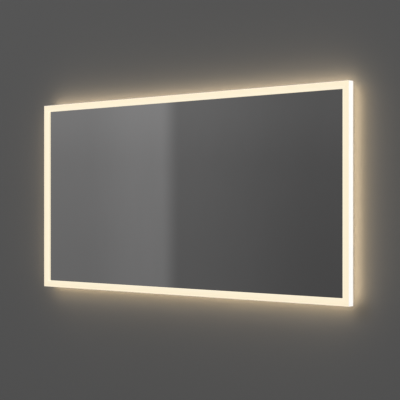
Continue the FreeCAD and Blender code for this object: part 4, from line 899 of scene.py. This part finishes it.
def make_flats():
    """The grey flats of the studio, seen only in reflections: half a ball in front of the glass."""
    material = bpy.data.materials.new("studio flats")
    material.use_nodes = True
    tree = Tree(material.node_tree)
    place = tree.split(tree.object_place())
    forward, across = (tree.math("MULTIPLY", place[axis], -1.0) for axis in ("Y", "X"))
    turn = tree.math("DEGREES", tree.math("ARCTAN2", across, forward))
    lift = tree.math("DIVIDE", place["Z"], FLATS_RADIUS)
    step = tree.add("Mix", data_type="FLOAT")
    tree.feed(step.inputs[0], tree.spread(turn, *FLATS_STEP))
    tree.feed(step.inputs[2], tree.spread(turn, *DARK_FLAT))
    tree.feed(step.inputs[3], tree.spread(turn, *PALE_FLAT))
    level = step.outputs[0]
    for start, stop, soft, paler in OTHER_FLATS:
        rise = tree.spread(turn, start - soft, start + soft, 0.0, paler)
        fall = tree.spread(turn, stop - soft, stop + soft, 1.0, 0.0)
        level = tree.math("ADD", level, tree.math("MULTIPLY", rise, fall))
    rising = 0.0
    for change in UP_THE_FLATS:
        rising = tree.math("ADD", rising, tree.spread(lift, *change))
    glow = tree.add("Emission")
    tree.feed(glow.inputs["Color"], FLATS_COLOUR)
    tree.feed(glow.inputs["Strength"], tree.math("MULTIPLY", level, rising))
    tree.feed(tree.add("OutputMaterial").inputs["Surface"], glow.outputs[0])

    steps_round, steps_up = 48, 24
    corners, faces = [], []
    for row in range(steps_up + 1):
        up = math.pi * (row / steps_up - 0.5)
        for column in range(steps_round + 1):
            around = math.pi * column / steps_round
            corners.append((FLATS_RADIUS * math.cos(up) * math.cos(around),
                            -FLATS_RADIUS * math.cos(up) * math.sin(around),
                            FLATS_RADIUS * math.sin(up)))
    for row in range(steps_up):
        for column in range(steps_round):
            first = row * (steps_round + 1) + column
            above = first + steps_round + 1
            faces.append((first, first + 1, above + 1, above))
    mesh = bpy.data.meshes.new("studio_flats")
    mesh.from_pydata(corners, [], faces)
    mesh.materials.append(material)
    flats = bpy.data.objects.new("studio_flats", mesh)
    flats.location = CENTRE
    bpy.context.scene.collection.objects.link(flats)
    flats.visible_camera = False
    flats.visible_diffuse = False
    flats.visible_transmission = False
    flats.visible_shadow = False


def lamp(name, place, size, power, colour=(1.0, 1.0, 1.0)):
    """A flat lamp, which the camera doesn't see."""
    light = bpy.data.lights.new(name, "AREA")
    light.shape = "RECTANGLE"
    light.size, light.size_y = size
    light.energy = power
    light.color = colour
    made = bpy.data.objects.new(name, light)
    made.location = place
    made.visible_camera = False
    bpy.context.scene.collection.objects.link(made)
    return made


def make_lamps():
    """Three soft lamps, which all look at the mirror."""
    for name, place, width, power, reflected in LAMPS:
        made = lamp(name, place, (width, width), power)
        made.rotation_euler = (CENTRE - made.location).to_track_quat("-Z", "Y").to_euler()
        made.visible_glossy = reflected


def make_halo():
    """The border's light on the wall: strip lamps behind its rear lip, and just off its sides."""
    lip = LIP_WIDTH * LIP_SHARE
    depth = REAR_LIP_Y - FRONT_Y
    out, back = math.sin(HALO_TILT), math.cos(HALO_TILT)
    sideways, upwards = Vector((1, 0, 0)), Vector((0, 0, 1))
    for outward, along, half, length in ((sideways, upwards, HALF_WIDTH, 2 * HALF_HEIGHT),
                                         (upwards, sideways, HALF_HEIGHT, 2 * HALF_WIDTH)):
        for way in (outward, -outward):
            place = CENTRE + way * (half - lip / 2)
            place.y = REAR_LIP_Y + HALO_OFF + lip / 2 * out
            facing = way * out + Vector((0, back, 0))
            halo_lamp("halo_lip", place, facing, along, (lip, length - 2 * lip), LIP_LIGHT)
            place = CENTRE + way * (half + HALO_OFF)
            place.y = FRONT_Y + depth / 2
            halo_lamp("halo_side", place, way, along, (depth, length), SIDE_LIGHT)


def halo_lamp(name, place, facing, along, size, brightness):
    """A strip lamp of a given width, length and brightness, seen only by what it lights."""
    made = lamp(name, place, size, brightness * math.pi * size[0] * size[1], HALO_COLOUR)
    across = along.cross(-facing)
    made.rotation_euler = Matrix((across, along, -facing)).transposed().to_euler()
    made.visible_glossy = False


def make_world():
    """Pale surroundings, brighter to see and in reflections than as a light."""
    world = bpy.data.worlds.new("studio")
    bpy.context.scene.world = world
    world.use_nodes = True
    tree = Tree(world.node_tree)
    path = tree.add("LightPath").outputs
    seen = tree.math("MAXIMUM", path["Is Camera Ray"], path["Is Glossy Ray"])
    seen = tree.math("MAXIMUM", seen, path["Is Transmission Ray"])
    sky = tree.add("Background")
    tree.feed(sky.inputs["Color"], tree.mix(seen, tone(SKY_LIGHT), tone(SKY_TONE)))
    tree.feed(sky.inputs["Strength"], 1.0)
    tree.feed(tree.add("OutputWorld").inputs["Surface"], sky.outputs[0])


def make_camera():
    """The photograph's view: level, from the mirror's right, with a long lens."""
    lens, sensor, picture_width = 102.8, 36.0, 400
    horizon_row = 206.5
    turn = math.radians(40.38)
    data = bpy.data.cameras.new("camera")
    data.lens = lens
    data.sensor_width = sensor
    data.shift_y = (horizon_row - picture_width / 2) / picture_width
    camera = bpy.data.objects.new("camera", data)
    camera.location = (2.261, -2.607, -0.1946)
    camera.rotation_euler = (math.radians(90), 0, turn)
    bpy.context.scene.collection.objects.link(camera)
    bpy.context.scene.camera = camera


make_stage()
make_flats()
make_world()
make_lamps()
make_halo()
make_camera()
bpy.context.scene.view_settings.view_transform = "Standard"
